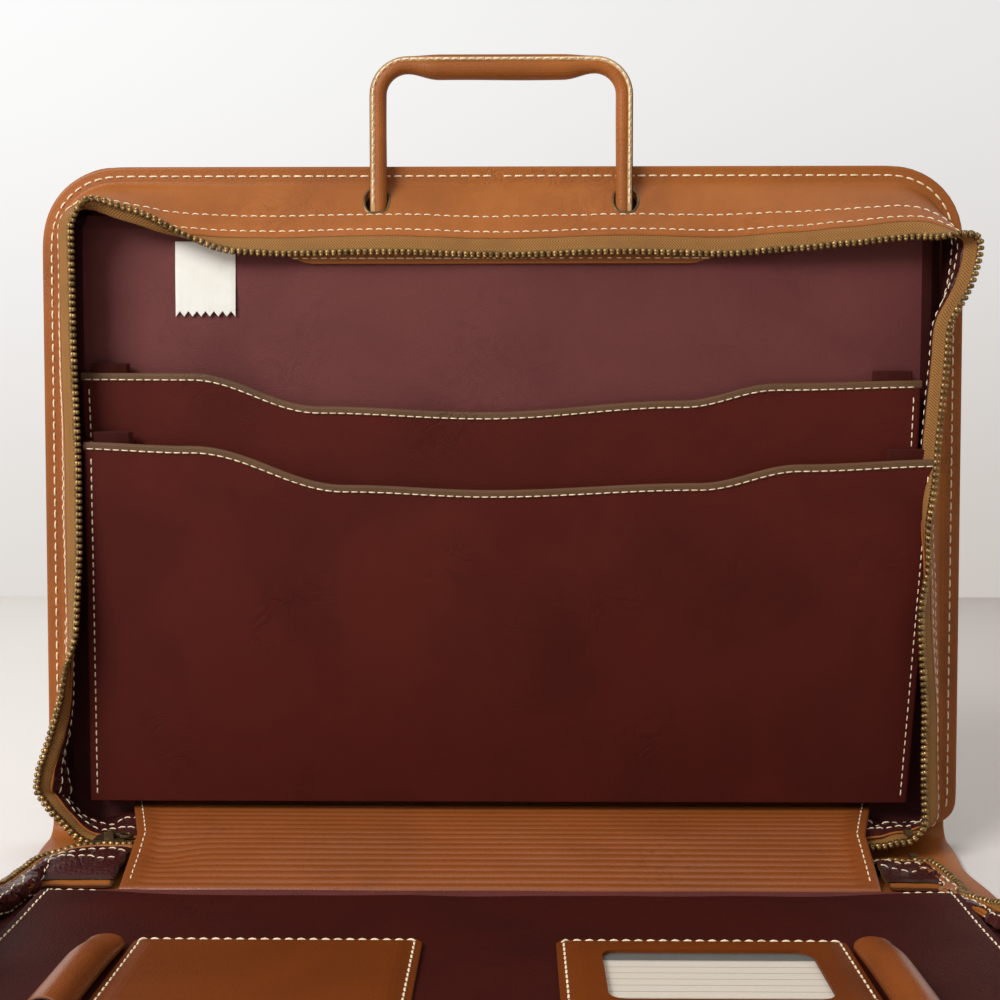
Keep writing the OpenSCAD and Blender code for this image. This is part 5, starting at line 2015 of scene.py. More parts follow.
@dataclass
class Linings:
    """The linings of both halves, the tan lip and the bare label.

    Attributes:
        foot_y: place of a lining's foot, which hides the board's end.
        wall_room: distance between a lining and the crease of its wall.
        lining_top_y: place of a lining's top at its middle.
        dip: width over which a lining comes down at its sides.
        lip_half_w: half width of the lip.
        lip_low: place of the lip's lower edge up the half.
        lip_seam_in: distance of its stitches from its lower edge.
        label_x: the label's middle across.
        label_low: place of the label's pinked edge up the half.
        pinks: number of points of the pinked edge, and pink_h their height.
    """

    shop: Workshop
    foot_y: float = 6.0
    wall_room: float = 3.0
    lining_top_y: float = 267.4
    dip: float = 10.0
    lip_half_w: float = 91.0
    lip_low: float = 254.6
    lip_h: float = 10.5
    lip_seam_in: float = 2.4
    lip_pitch: float = 4.1
    label_x: float = -127.8
    label_w: float = 26.0
    label_low: float = 232.0
    label_top: float = 264.4
    label_flat_h: float = 32.5
    label_t: float = 0.35
    pinks: int = 7
    pink_h: float = 2.3

    def _half_width(self, half: Half, y: np.ndarray) -> np.ndarray:
        """Half width of a lining at places up its half, with rounded top corners."""
        drawn = np.vectorize(lambda k: S.drawn_in(float(k), half.waist))(y)
        radius = S.base_r - self.wall_room
        rise = np.clip(y - S.arc_y, 0, radius)
        return S.arc_x - drawn + np.sqrt(radius ** 2 - rise ** 2)

    def lining(self, half: Half, rise_y: float) -> bpy.types.Object:
        """The burgundy lining of a half, over its board and up to its walls."""
        u = with_rims(-1, 1, 0.027, 0.004)[None, :]
        k = with_rims(0, 1, 0.02, 0.003)[:, None]
        corner = ease((np.abs(u) * S.arc_x - 90) / 45)
        top = mix(self.lining_top_y, S.arc_y + S.base_r - self.wall_room - 0.5, corner)
        y = mix(self.foot_y, top, k)
        half_w = self._half_width(half, y)
        x = u * half_w
        height = np.vectorize(lambda v: S.lining_z(float(v), rise_y))(y) + S.lining_t / 2
        calm = Ripple(0.35, 70.0, 17).at(points_of(x, y, 0.0))
        low = S.lining_low_z + S.lining_t / 2
        raised = ease((half_w - np.abs(x)) / self.dip) * mix(1, ease((top - y) / 16), corner)
        z = np.maximum(mix(low, height + calm * 0.6, raised), low)
        grid = half.place(points_of(x, y, z))
        share = grid_share(k[:, 0] * 255, u[0] * S.base_x, 0.8)
        name = f"{half.value}_tray_lining"
        # the tray finish's lighter, greyer colour is a painted sheen
        return self.shop.sheet(name, grid, S.lining_t, share, Finish.TRAY)

    def lip(self) -> list[bpy.types.Object]:
        """The lip strip sewn under the top wall."""
        x = with_rims(-self.lip_half_w, self.lip_half_w, 3.0, 0.7)
        k = with_rims(0, 1, 0.12, 0.07)
        cut_back = 2.2 * ease((np.abs(x) - self.lip_half_w + 9) / 9)
        low = self.lip_low + cut_back
        y = mix(low[None, :], self.lip_low + self.lip_h, k[:, None])
        z = S.handle_room + S.lining_t + 0.9 + 0.25 * np.sin(x[None, :] / 23)
        grid = Half.STANDING.place(points_of(x[None, :], y, z))
        piece = self.shop.sheet("lip", grid, S.patch_t, grid_share(k, x / 100, 0.006), Finish.TAN)
        line = x[2:-2]
        edge = Half.STANDING.place(points_of(line, self.lip_low + self.lip_seam_in,
                                             S.handle_room + S.lining_t + 1.5))
        row = row_along(edge, np.broadcast_to([0.0, -1.0, 0.0], edge.shape), self.lip_pitch)
        return [piece, self.shop.sew("lip_seam", [row], Stitch.LIP)]

    def label(self) -> bpy.types.Object:
        """The bare fabric label with its pinked lower edge."""
        u = np.linspace(-0.5, 0.5, 2 * self.pinks + 1)
        k = with_rims(0, 1, 0.05, 0.02)
        low = self.label_low + self.pink_h * (np.arange(len(u)) % 2 == 1)
        y = mix(low[None, :], self.label_top, k[:, None])
        x = self.label_x + u * self.label_w
        wave = 0.5 * np.sin(y / 7.0 + x / 9.0) + 0.9 * (1 - k[:, None]) ** 2
        z = S.handle_room + S.lining_t + 0.6 + wave * 0.5
        grid = Half.STANDING.place(points_of(x[None, :], y, z))
        share = grid_share(k, u, 0.02)
        piece = self.shop.sheet("bare_label", grid, self.label_t, share, Finish.LABEL)
        return piece

    def build(self) -> None:
        """Makes both linings, the lip and the label."""
        back = self.lining(Half.STANDING, S.lining_bottom_y)
        front = self.lining(Half.LYING, S.document_h + 3)
        label, lips = self.label(), self.lip()
        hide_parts("back_lining")
        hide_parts("front_lining")
        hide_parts("label")
        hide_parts("handle_lip")
        ride_on(Half.STANDING.body, [back, label, *lips])
        ride_on(Half.LYING.body, [front])


@dataclass
class SpineLiner:
    """The ribbed tan liner over the spine, a hump whose ribs follow a rule.

    Attributes:
        back_y: its rear end, from the standing half's fold.
        back_z: its height there.
        front_y: its front end.
        front_z: its height there.
        slope: its fall at the rear end.
        ribs: number of ribs.
        rib_h: height of a rib.
        half_ws: half widths at the rear end, at the kink and at the front end.
        kink: share of its length at the kink.
        plain: width of the unribbed bands at its sides.
        rim: width of its rounded edge.
        roundness: power that rounds a rib; the lower, the flatter its top.
        sag: height of the uneven places.
        dent_at: middle of the dent at its left, across and along in shares.
        dent_h: depth of the dent.
        seam_in: distance of its stitches from its sides.
        pitch: distance between two stitches.
    """

    shop: Workshop
    back_y: float = -4.9
    back_z: float = 19.6
    front_y: float = -85.0
    front_z: float = 4.4
    slope: float = 0.10
    ribs: int = 18
    rib_h: float = 1.0
    thick: float = 1.8
    half_ws: tuple[float, float, float] = (164.5, 153.5, 149.5)
    kink: float = 0.45
    plain: float = 7.5
    rim: float = 1.2
    roundness: float = 0.55
    sag: float = 0.8
    dent_at: tuple[float, float] = (-0.91, 0.66)
    dent_h: float = 2.2
    seam_in: float = 3.6
    pitch: float = 4.4

    @property
    def run(self) -> float:
        """Its length along the spine."""
        return self.back_y - self.front_y

    def _tree(self) -> bpy.types.NodeTree:
        """The node tree that lifts a flat grid into the ribbed hump."""
        graph, given = start_tree("ribbed_hump", ("Ribs", "Rib height", "Thickness", "Plain"))
        flat, ribs, rib_h, thick, plain, finish = given[:6]
        u, v, _ = graph.parts(graph.add("GeometryNodeInputPosition"))
        run = self.run
        curve = (self.back_z - self.front_z - self.slope * run) / run ** 2
        down = v * run
        fall = down * self.slope + down * down * curve
        wide, middle, narrow = self.half_ws
        first = (v / self.kink).maths("MINIMUM", 1.0)
        rest = ((v - self.kink) / (1 - self.kink)).maths("MAXIMUM", 0.0)
        half_w = wide - first * (wide - middle) - rest * (middle - narrow)
        across = u * half_w
        inside = half_w - across.maths("ABSOLUTE")
        ribbed = ((inside - plain) / self.rim).maths("MINIMUM", 1.0).maths("MAXIMUM", 0.0)
        wave = (v * ribs * math.pi).maths("SINE").maths("ABSOLUTE") ** self.roundness
        where = graph.vector(across * 0.35, down)
        soft = graph.noise(where, 0.022, 1.0)
        fade = graph.noise(where, 0.05, 1.0) * 0.9
        uneven = (soft - 0.5) * self.sag
        ribbed = ribbed * (0.55 + fade)
        end = (v.maths("MINIMUM", 1 - v) * run / 4.0).maths("MINIMUM", 1.0)
        dent_u, dent_v = self.dent_at
        dent = (-1 * ((u - dent_u) * 14) ** 2.0 - ((v - dent_v) * 7) ** 2.0).maths("EXPONENT")
        height = self.back_z - fall + (wave - 1) * rib_h * ribbed + uneven * end
        height = height - dent * self.dent_h
        edge = inside.maths("MINIMUM", v.maths("MINIMUM", 1 - v) * run)
        share = 1 - (edge / self.rim).maths("MINIMUM", 1.0)
        half_t = (1 - share * share).maths("MAXIMUM", 0.0).maths("SQRT") * thick * 0.5
        faces = []
        for sign in (1, -1):
            place = graph.vector(across * MM, (S.hinge_y + self.back_y - down) * MM,
                                 (height + half_t * sign - thick * 0.5) * MM)
            faces.append(graph.add("GeometryNodeSetPosition", None,
                                   {"Geometry": flat, "Position": place}))
        turned = graph.add("GeometryNodeFlipFaces", None, {0: faces[1]})
        merged = graph.add("GeometryNodeMergeByDistance", None,
                           {"Geometry": graph.joined(turned, faces[0]), "Distance": 2e-6})
        graph.dress(merged, finish)
        return graph.tree

    def liner(self) -> bpy.types.Object:
        """The ribbed liner as a plain closed mesh."""
        u = with_rims(-1, 1, 0.02, self.rim / self.half_ws[1])
        v = np.unique(with_rims(0, 1, 1 / (8 * self.ribs), self.rim / self.run))
        grid = points_of(u[None, :], v[:, None], 0.0)
        rows, columns = grid.shape[:2]
        number = np.arange(rows * columns).reshape(rows, columns)
        faces = np.roll(quads(number)[:, ::-1], 1, 1)
        # the liner finish's darker colour is painted shade
        leather = self.shop.palette[Finish.LINER]
        flat = grid[..., :2] * [self.half_ws[1], self.run] * MM
        made = make_object("spine_liner", grid.reshape(-1, 3) / MM, faces.tolist(), leather,
                           flat.reshape(-1, 2), merge=0.0)
        run_tree(made, self._tree(), {"Ribs": float(self.ribs), "Rib height": self.rib_h,
                                      "Thickness": self.thick, "Plain": self.plain,
                                      "Material": leather})
        return made

    def seams(self, liner: bpy.types.Object) -> bpy.types.Object:
        """Stitches down both sides of the liner."""
        tree = surface_tree(liner)
        rows = []
        for side in (-1, 1):
            share = np.linspace(0.03, 0.97, 60)
            wide = np.interp(share, (0, self.kink, 1), self.half_ws)
            x = side * (wide - self.seam_in)
            y = S.hinge_y + self.back_y - share * self.run
            curve, face = dropped(tree, points_of(x, y, 60.0), (0, 0, -1))
            rows.append(row_along(curve, face, self.pitch))
        return self.shop.sew("spine_liner_seams", rows, Stitch.LINER)

    def build(self) -> None:
        """Makes the liner and its seams and hides the node that they replace."""
        liner = self.liner()
        seams = self.seams(liner)
        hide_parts("ribbed_liner")
        Bend("spine", "back_half", (0, 196, 18), (0, 209, 20)).carry(liner, seams)
        report([liner, seams])


def surface_tree(*pieces: bpy.types.Object) -> BVHTree:
    """A search tree of some pieces' surfaces."""
    soup = bmesh.new()
    for piece in pieces:
        soup.from_mesh(piece.data)
    tree = BVHTree.FromBMesh(soup)
    soup.free()
    return tree


def dropped(tree: BVHTree, points: np.ndarray,
            way: Sequence[float]) -> tuple[np.ndarray, np.ndarray]:
    """Points moved along a way until they meet a surface.

    Args:
        tree: the surface.
        points: start points in millimetres.
        way: direction of the move.

    Returns:
        The points met and the surface's normals there; a point that meets nothing is left out.
    """
    met, faces = [], []
    for point in points:
        place, normal, _, _ = tree.ray_cast(Vector(point * MM), Vector(way))
        if place is not None:
            met.append(np.array(place) / MM)
            faces.append(np.array(normal))
    return np.array(met), np.array(faces)


@dataclass
class Handle:
    """A rolled leather handle with its sewn seam and its two eyelets.

    Attributes:
        half: the half that it slides in.
        rolled: radius of the rolled leather at the legs and at the grip.
        shift: how far the roll sits outside the middle line, at the legs and at the grip.
        raw: distances of the seam's raw band from the middle line, at the legs and the grip.
        raw_t: thickness of the raw band at the legs and at the grip.
        reach: distance of the seam's outer edge from the middle line, at both.
        pitch: distance between two stitches.
        free_end: length without stitches at the end of a leg.
        count: number of points round a ring of an eyelet.
    """

    shop: Workshop
    half: Half
    rolled: tuple[float, float] = (3.15, 4.6)
    shift: tuple[float, float] = (0.4, -0.8)
    raw: tuple[tuple[float, float], tuple[float, float]] = ((2.0, 4.2), (1.9, 3.9))
    raw_t: tuple[float, float] = (5.0, 7.8)
    reach: tuple[float, float] = (4.7, 5.3)
    leg_end_y: float = 272.4
    taper: float = 14.0
    ring_w: float = 1.3
    ring_t: float = 0.7
    pitch: float = 3.6
    free_end: float = 8.5
    count: int = 40

    def _path(self) -> tuple[np.ndarray, np.ndarray, np.ndarray]:
        """Middle line in the half's drawing, its way outward and its share of grip."""
        bend_x = S.leg_spacing / 2 - S.bend_r
        points, outs = [], []
        for y in np.linspace(self.leg_end_y, S.bend_y, 22)[:-1]:
            points.append((-S.leg_spacing / 2, y, S.leg_z))
            outs.append((-1, 0, 0))
        for angle in np.linspace(math.pi, math.pi / 2, 12):
            c, s = math.cos(angle), math.sin(angle)
            points.append((-bend_x + S.bend_r * c, S.bend_y + S.bend_r * s, S.leg_z))
            outs.append((c, s, 0))
        for x in np.linspace(-bend_x, 0, 20)[1:]:
            points.append((x, S.grip_y, S.leg_z))
            outs.append((0, 1, 0))
        mirror = np.array([-1.0, 1, 1])
        points = np.array(points, float)
        outs = np.array(outs, float)
        points = np.concatenate([points, points[-2::-1] * mirror])
        outs = np.concatenate([outs, outs[-2::-1] * mirror])
        near = np.clip((bend_x - np.abs(points[:, 0])) / self.taper, 0, 1)
        return points, outs, ease(near)

    def roll(self) -> tuple[bpy.types.Object, ...]:
        """Makes the handle's leather.

        Returns:
            The roll, its raw seam band, the band's outer lip, its dark edge and the stitches.
        """
        points, outs, grip = self._path()
        line, outward = self.half.place(points), self.half.turn(outs)
        radius = mix(*self.rolled, grip)
        path = line + outward * mix(*self.shift, grip)[:, None]
        calm = 1 + 0.025 * np.sin(arc_length(path) / 9.0)
        rings = swept_rings(path, outward, circle(24) * (radius * calm)[:, None, None])
        roll = self.shop.tube(f"{self.half.value}_handle_roll", rings, Finish.TAN)
        near, far = (mix(at_leg, at_grip, grip) for at_leg, at_grip in zip(*self.raw))
        outer = mix(*self.reach, grip)
        thick = mix(*self.raw_t, grip)
        band = self._strip("band", line, outward, (near, far), thick, Finish.RAW)
        lip = self._strip("lip", line, outward, (far - 0.5, outer - 0.2), thick * 0.55,
                          Finish.TAN)
        edge = self._strip("edge", line, outward, (outer - 0.8, outer), thick * 0.4,
                           Finish.DARK)
        rows = []
        into = self.half.turn(np.array([0.0, 0.0, 1.0]))
        for side in (1, -1):
            middle = line + outward * mix(near, far, 0.5)[:, None]
            face = np.broadcast_to(into * side, middle.shape)
            rows.append(row_along(middle + face * thick[:, None] / 2, face, self.pitch,
                                  self.free_end))
        seam = self.shop.sew(f"{self.half.value}_handle_seam", rows, Stitch.HANDLE)
        return roll, band, lip, edge, seam

    def _strip(self, name: str, line: np.ndarray, outward: np.ndarray,
               reach: tuple[np.ndarray, np.ndarray], thick: np.ndarray,
               finish: Finish) -> bpy.types.Object:
        """A strip that stands on the roll, from an inner to an outer distance.

        Args:
            name: end of the piece's name.
            line: the handle's middle line.
            outward: way out at each of its points.
            reach: inner and outer distance from the middle line.
            thick: thickness of the strip at each point.
            finish: its finish.

        Returns:
            The strip.
        """
        width = (reach[1] - reach[0])[:, None]
        profile = rounded_profile(1.0, 1.0, 0.2, 4)
        rings = np.stack([profile[:, 0][None] * width + (reach[0] + reach[1])[:, None] / 2,
                          profile[:, 1][None] * thick[:, None]], -1)
        return self.shop.tube(f"{self.half.value}_handle_{name}",
                              swept_rings(line, outward, rings), finish)

    def eyelets(self, tree: BVHTree) -> bpy.types.Object:
        """Metal rings round the slots, on the wall's real surface."""
        parts = []
        r = S.slot_r + self.ring_w * 0.3
        for side in (-1, 1):
            middle = side * (S.leg_spacing + S.slot_out) / 2
            start = []
            for c, s in circle(self.count):
                e = np.sign(c) * S.slot_out / 2
                start.append((middle + e + r * c, S.hole_y + 40, S.leg_z + r * s))
            down = self.half.turn(np.array([0.0, -1.0, 0.0]))
            path, face = dropped(tree, self.half.place(np.array(start)), down)
            path, face = smooth_ring(path, 2), unit(smooth_ring(face, 2))
            parts.append((path, face))
        return self._rings(parts)

    def _rings(self, parts: Sequence[tuple[np.ndarray, np.ndarray]]) -> bpy.types.Object:
        """Closed oblong rings along loops on a surface."""
        size = 10
        c, s = circle(size).T[..., None]
        points, faces = [], []
        for path, face in parts:
            way = unit(np.roll(path, -1, 0) - np.roll(path, 1, 0))
            side = np.cross(face, way)
            first = sum(len(p) for p in points)
            ring = (path[:, None] + side[:, None] * (c * self.ring_w / 2)
                    + face[:, None] * (s * self.ring_t / 2 - 0.1))
            number = first + np.arange(len(path) * size).reshape(len(path), size)
            faces += quads(np.pad(number, ((0, 1), (0, 1)), "wrap")).tolist()
            points.append(ring.reshape(-1, 3))
        made = make_object(f"{self.half.value}_rings", np.concatenate(points), faces,
                           self.shop.palette[Finish.BRONZE])
        return face_out(made)

    def build(self, walls: Sequence[bpy.types.Object]) -> None:
        """Makes the handle and its eyelets, on the walls given."""
        roll, *sewn = self.roll()
        rings = self.eyelets(surface_tree(*walls))
        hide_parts(f"{self.half.value}_handle")
        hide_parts(f"{self.half.value}_eyelets")
        ride_on(f"{self.half.value}_grip", [roll, *sewn])
        ride_on(self.half.body, [rings])


def smooth_ring(values: np.ndarray, times: int) -> np.ndarray:
    """Values round a closed loop, evened out."""
    for _ in range(times):
        values = (np.roll(values, 1, 0) + 2 * values + np.roll(values, -1, 0)) / 4
    return values


@dataclass
class DocumentPocket:
    """The lying half's document pocket with what is sewn on it.

    Attributes:
        half_w: its half width.
        foot: place and height of its foot.
        knee: place and height of the knee, where the slope starts.
        top: place and height of its edge.
        mitre: how far its corners are cut back at the foot.
        patch_v: distance from the knee to the patches.
    """

    shop: Workshop
    half_w: float = 171.0
    foot: tuple[float, float] = (17.5, 2.7)
    knee: tuple[float, float] = (30.0, 7.3)
    top: tuple[float, float] = (S.document_h, 7.9)
    mitre: float = 22.0
    patch_v: float = 52.0
    patch_w: float = 97.0
    patch_h: float = 72.0
    card_x: float = 73.0
    window_x: float = -68.5
    sleeve_xs: tuple[float, float] = (129.0, -124.0)
    sleeve_r: float = 6.5
    sleeve_l: float = 71.0
    corner_lift: float = 1.8
    binding_h: float = 3.4
    binding_t: float = 2.4
    gusset_w: float = 15.5
    gusset_deep: float = 3.3
    gusset_t: float = 0.9
    patch_r: float = 4.0
    patch_rim: float = 0.7
    card_lift: float = 1.9
    window_lift: float = 1.85
    window: tuple[float, float, float] = (68.0, 42.0, 15.0)
    window_r: float = 5.0
    sleeve_t: float = 1.1
    side_pitch: float = 4.2
    edge_pitch: float = 3.7

    @property
    def slope(self) -> Slope:
        """The slope of its panel, with the drawing's h 0 on its outer face."""
        angle = math.atan2(self.top[1] - self.knee[1], self.top[0] - self.knee[0])
        lift = S.pocket_t / math.cos(angle) + 0.1
        return Slope(Half.LYING, self.knee[0], self.knee[1] + lift, self.top[0],
                     self.top[1] + lift)

    @property
    def length(self) -> float:
        """Length of the slope."""
        return (self.top[0] - self.knee[0]) / math.cos(self.slope.angle)

    def _middle(self, y: np.ndarray) -> np.ndarray:
        """Height of the panel's middle surface, with a soft knee."""
        fine = np.linspace(self.foot[0] - 20, self.top[0] + 20, 400)
        line = np.interp(fine, [self.foot[0], self.knee[0], self.top[0]],
                         [self.foot[1], self.knee[1], self.top[1]])
        bell = np.exp(-0.5 * (np.linspace(-15, 15, 57) / 4.0) ** 2)
        soft = np.convolve(np.pad(line, 28, "edge"), bell / bell.sum(), "valid")
        return np.interp(y, fine, np.minimum(soft, line + 0.01) * 0.3 + line * 0.7)

    def _lift(self, x: np.ndarray, y: np.ndarray) -> np.ndarray:
        """How far the panel's corners rise over the walls' ends."""
        corner = ease((np.abs(x) - 112) / 50) * (1 - ease((y - self.foot[0]) / 62))
        return self.corner_lift * corner

    def panel(self) -> bpy.types.Object:
        """The burgundy panel, mitred at the foot."""
        y = with_rims(self.foot[0], self.top[0] - 2.0, 4.0, 0.8)
        u = with_rims(-1, 1, 0.025, 0.8 / self.half_w)
        cut_back = np.clip(self.mitre - y, 0, None)
        x = u[None, :] * (self.half_w - cut_back)[:, None]
        z = self._middle(y)[:, None] + S.pocket_t / 2 + self._lift(x, y[:, None])
        calm = Ripple(1.0, 60.0, 31).at(points_of(x, y[:, None], 0.0))
        z = z + 0.25 * calm * np.cos(np.pi * u / 2)[None, :]
        grid = Half.LYING.place(points_of(x, y[:, None], z))
        share = grid_share(y, u * self.half_w, 0.8)
        # the panel finish's darker colour is painted shade
        return self.shop.sheet("document_panel", grid, S.pocket_t, share, Finish.PANEL)

    def binding(self) -> bpy.types.Object:
        """The binding folded over the open edge."""
        x = np.linspace(-self.half_w, self.half_w, 60)
        path = self.slope.at(x, self.knee[0] + self.length - self.binding_h / 2,
                             -S.pocket_t / 2 - 0.1)
        profile = rounded_profile(self.binding_h, self.binding_t, 1.1)
        outward = np.broadcast_to(self.slope.way(0, 1, 0), path.shape)
        return self.shop.tube("document_edge", swept_rings(path, outward, profile), Finish.OLIVE)

    def gussets(self) -> list[bpy.types.Object]:
        """The folded gussets under both sides."""
        made = []
        for side in (-1, 1):
            line, places = folded(side, self.half_w - 2.4, self.gusset_w,
                                  (-S.pocket_t - 0.9, self.gusset_deep), 0.4, 1.8)
            up = with_rims(self.knee[0] + 0.5, self.knee[0] + self.length - 5, 6.0, 0.6)
            grid = self.slope.at(side * line[None, :, 0], up[:, None], line[None, :, 1])
            name = f"document_gusset_{'right' if side < 0 else 'left'}"
            share = grid_share(up, places, 0.6)
            made.append(self.shop.sheet(name, grid, self.gusset_t, share, Finish.BURGUNDY))
        return made

    def _patch(self, name: str, x: float, lift: float) -> tuple[bpy.types.Object, Height]:
        """A tan pocket patch sewn on three sides, open at the top.

        Args:
            name: the piece's name.
            x: its middle across.
            lift: how far its open edge stands off the panel.

        Returns:
            The patch and the height of its outer face as a function of place.
        """
        w, h, r, rim = self.patch_w, self.patch_h, self.patch_r, self.patch_rim
        low = self.knee[0] + self.patch_v

        def height(u: np.ndarray, v: np.ndarray) -> np.ndarray:
            """Height of the patch's middle over the panel."""
            inside = np.minimum(np.minimum(w / 2 - np.abs(u), v), 9.0) / 9.0
            return S.patch_t / 2 + 0.15 + lift * ease(inside)

        columns = with_rims(-1, 1, 0.035, rim / (w / 2))
        v = with_rims(0, h, 2.4, rim)
        near = np.clip(r - np.minimum(v, h - v), 0, r)
        half = w / 2 - r + np.sqrt(np.maximum(r * r - near ** 2, 0.0))
        u = columns[None, :] * half[:, None]
        z = height(u, v[:, None])
        grid = self.slope.at(x + u, low + v[:, None], z)
        share = grid_share(v, columns * w / 2, rim)
        # the patch finish's darker colour is painted shade
        return self.shop.sheet(name, grid, S.patch_t, share, Finish.PATCH), height

    def _patch_seams(self, name: str, x: float, height: Height, inside: float = 2.6,
                     pitch: float = 4.1) -> bpy.types.Object:
        """Chunky stitches all round a patch."""
        w, h = self.patch_w / 2 - inside, self.patch_h - inside
        low = self.knee[0] + self.patch_v
        line = np.array([(-w, h), (-w, inside), (w, inside), (w, h), (-w, h)])
        lengths = arc_length(line)
        line = read_at(lengths, line, np.linspace(0, lengths[-1], 240))
        z = height(line[:, 0], line[:, 1]) + S.patch_t / 2
        curve = self.slope.at(x + line[:, 0], low + line[:, 1], z)
        face = np.broadcast_to(self.slope.way(0, 0, 1), curve.shape)
        return self.shop.sew(name, [row_along(curve, face, pitch)], Stitch.PATCH)

    def card_pocket(self) -> list[bpy.types.Object]:
        """The plain card pocket."""
        piece, height = self._patch("card_patch", self.card_x, self.card_lift)
        return [piece, self._patch_seams("card_patch_seams", self.card_x, height)]

    def window_pocket(self) -> list[bpy.types.Object]:
        """The pocket with the clear window."""
        piece, height = self._patch("window_patch", self.window_x, self.window_lift)
        w, h, v = self.window
        profile = rounded_profile(w, h, self.window_r, 6)
        low = self.knee[0] + self.patch_v + v + h / 2
        rings = np.array([self.slope.at(self.window_x + profile[:, 0], low + profile[:, 1], z)
                          for z in (-2.0, 8.0)])
        cut(piece, [tube_object("opening", rings, self.shop.palette[Finish.TAN])])
        return [piece, self._patch_seams("window_patch_seams", self.window_x, height)]

    def sleeve(self, x: float, name: str) -> bpy.types.Object:
        """A pen sleeve: a half-round tube with a closed, rounded lower end."""
        r = self.sleeve_r - 0.7
        v = with_rims(0, self.sleeve_l, 2.6, 0.6)
        dome = np.clip(v / r, 0.02, 1)
        scale = np.sqrt(1 - (1 - dome) ** 2)
        angle = np.linspace(math.radians(205), math.radians(-25), 31)
        centre = self.sleeve_r - 2.4
        u = np.cos(angle)[None, :] * r * scale[:, None]
        z = centre * scale[:, None] + np.sin(angle)[None, :] * r * scale[:, None] + 0.3
        z = np.maximum(z, 0.62)
        z = z * (0.5 + 0.42 * ease(v / 34))[:, None]
        low = self.knee[0] + self.patch_v + 4
        grid = self.slope.at(x + u, low + v[:, None], z)
        share = grid_share(v, np.linspace(0, 27, len(angle)), 0.9)
        # the sleeves take the liner finish, darkened with painted shade
        return self.shop.sheet(name, grid, self.sleeve_t, share, Finish.LINER)

    def seams(self) -> bpy.types.Object:
        """Stitches down both sides, round the mitres and along the foot."""
        inside = 3.2
        w = self.half_w - inside
        y = self.knee[0]
        line = np.array([(w, self.top[0] - 6), (w, self.mitre + inside * 0.4),
                         (w - self.mitre + inside, self.foot[0] + inside)])
        rows = []
        for side in (1, -1):
            lengths = arc_length(line)
            points = read_at(lengths, line, np.linspace(0, lengths[-1], 160))
            z = self._middle(points[:, 1]) + S.pocket_t + self._lift(points[:, 0], points[:, 1])
            local = points_of(side * points[:, 0], points[:, 1], z)
            up = np.broadcast_to([0.0, 0.0, 1.0], local.shape)
            rows.append(row_along(Half.LYING.place(local), up, self.side_pitch))
        x = np.linspace(-self.half_w, self.half_w, 80)
        rows.append(self.slope.seam(x, y + self.length - 2.8, 0.15, self.edge_pitch))
        return self.shop.sew("document_seams", rows, Stitch.DOCUMENT)

    def build(self) -> None:
        """Makes the pocket and lets it ride on the lying half."""
        panel, binding, gussets = self.panel(), self.binding(), self.gussets()
        cards, windows, seams = self.card_pocket(), self.window_pocket(), self.seams()
        left = self.sleeve(self.sleeve_xs[0], "pen_sleeve_one")
        right = self.sleeve(self.sleeve_xs[1], "pen_sleeve_two")
        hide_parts("document_pocket")
        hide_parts("document_binding")
        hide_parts("document_gussets")
        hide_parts("card_pocket")
        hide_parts("window_pocket")
        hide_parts("pen_sleeve_left")
        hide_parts("pen_sleeve_right")
        ride_on(Half.LYING.body, [panel, binding, seams, *gussets, *cards, *windows, left, right])


@dataclass
class Fittings:
    """Metal and stiff parts that keep their solids' shape, with finer edges or finishes.

    Attributes:
        bevel: width of the rounded edges of the slider and its pull.
    """

    shop: Workshop
    bevel: float = 0.22

    def rounded(self, node: str, finish: Finish) -> bpy.types.Object:
        """A copy of a metal node with rounded edges."""
        made = bpy.data.objects.new(f"{node}_fine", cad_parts[node].data.copy())
        bpy.context.scene.collection.objects.link(made)
        soup = bmesh.new()
        soup.from_mesh(made.data)
        bmesh.ops.remove_doubles(soup, verts=soup.verts, dist=1e-6)
        bmesh.ops.dissolve_limit(soup, angle_limit=math.radians(2), verts=soup.verts,
                                 edges=soup.edges)
        sharp = [e for e in soup.edges if e.calc_face_angle(0.0) > math.radians(35)]
        bmesh.ops.bevel(soup, geom=sharp, offset=self.bevel * MM, segments=2, profile=0.6,
                        affect="EDGES", clamp_overlap=True)
        soup.to_mesh(made.data)
        soup.free()
        made.data.materials.clear()
        made.data.materials.append(self.shop.palette[finish])
        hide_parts(node)
        return made

    def build(self) -> None:
        """Dresses the slider, the pull and the nodes that stay."""
        for node, body in (("zip_slider", "slider"), ("zip_pull", "pull"), ("end_stops", "spine")):
            ride_on(body, [self.rounded(node, Finish.BRONZE)])
        kept = {Finish.BOARD: ("back_board", "front_board", "spine_stay"),
                Finish.STEEL: ("back_handle_core", "front_handle_core", "back_handle_stops",
                               "front_handle_stops"),
                Finish.FILM: ("window",), Finish.PAPER: ("id_card",)}
        for finish, nodes in kept.items():
            for node in nodes:
                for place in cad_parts[node].material_slots:
                    place.material = self.shop.palette[finish]


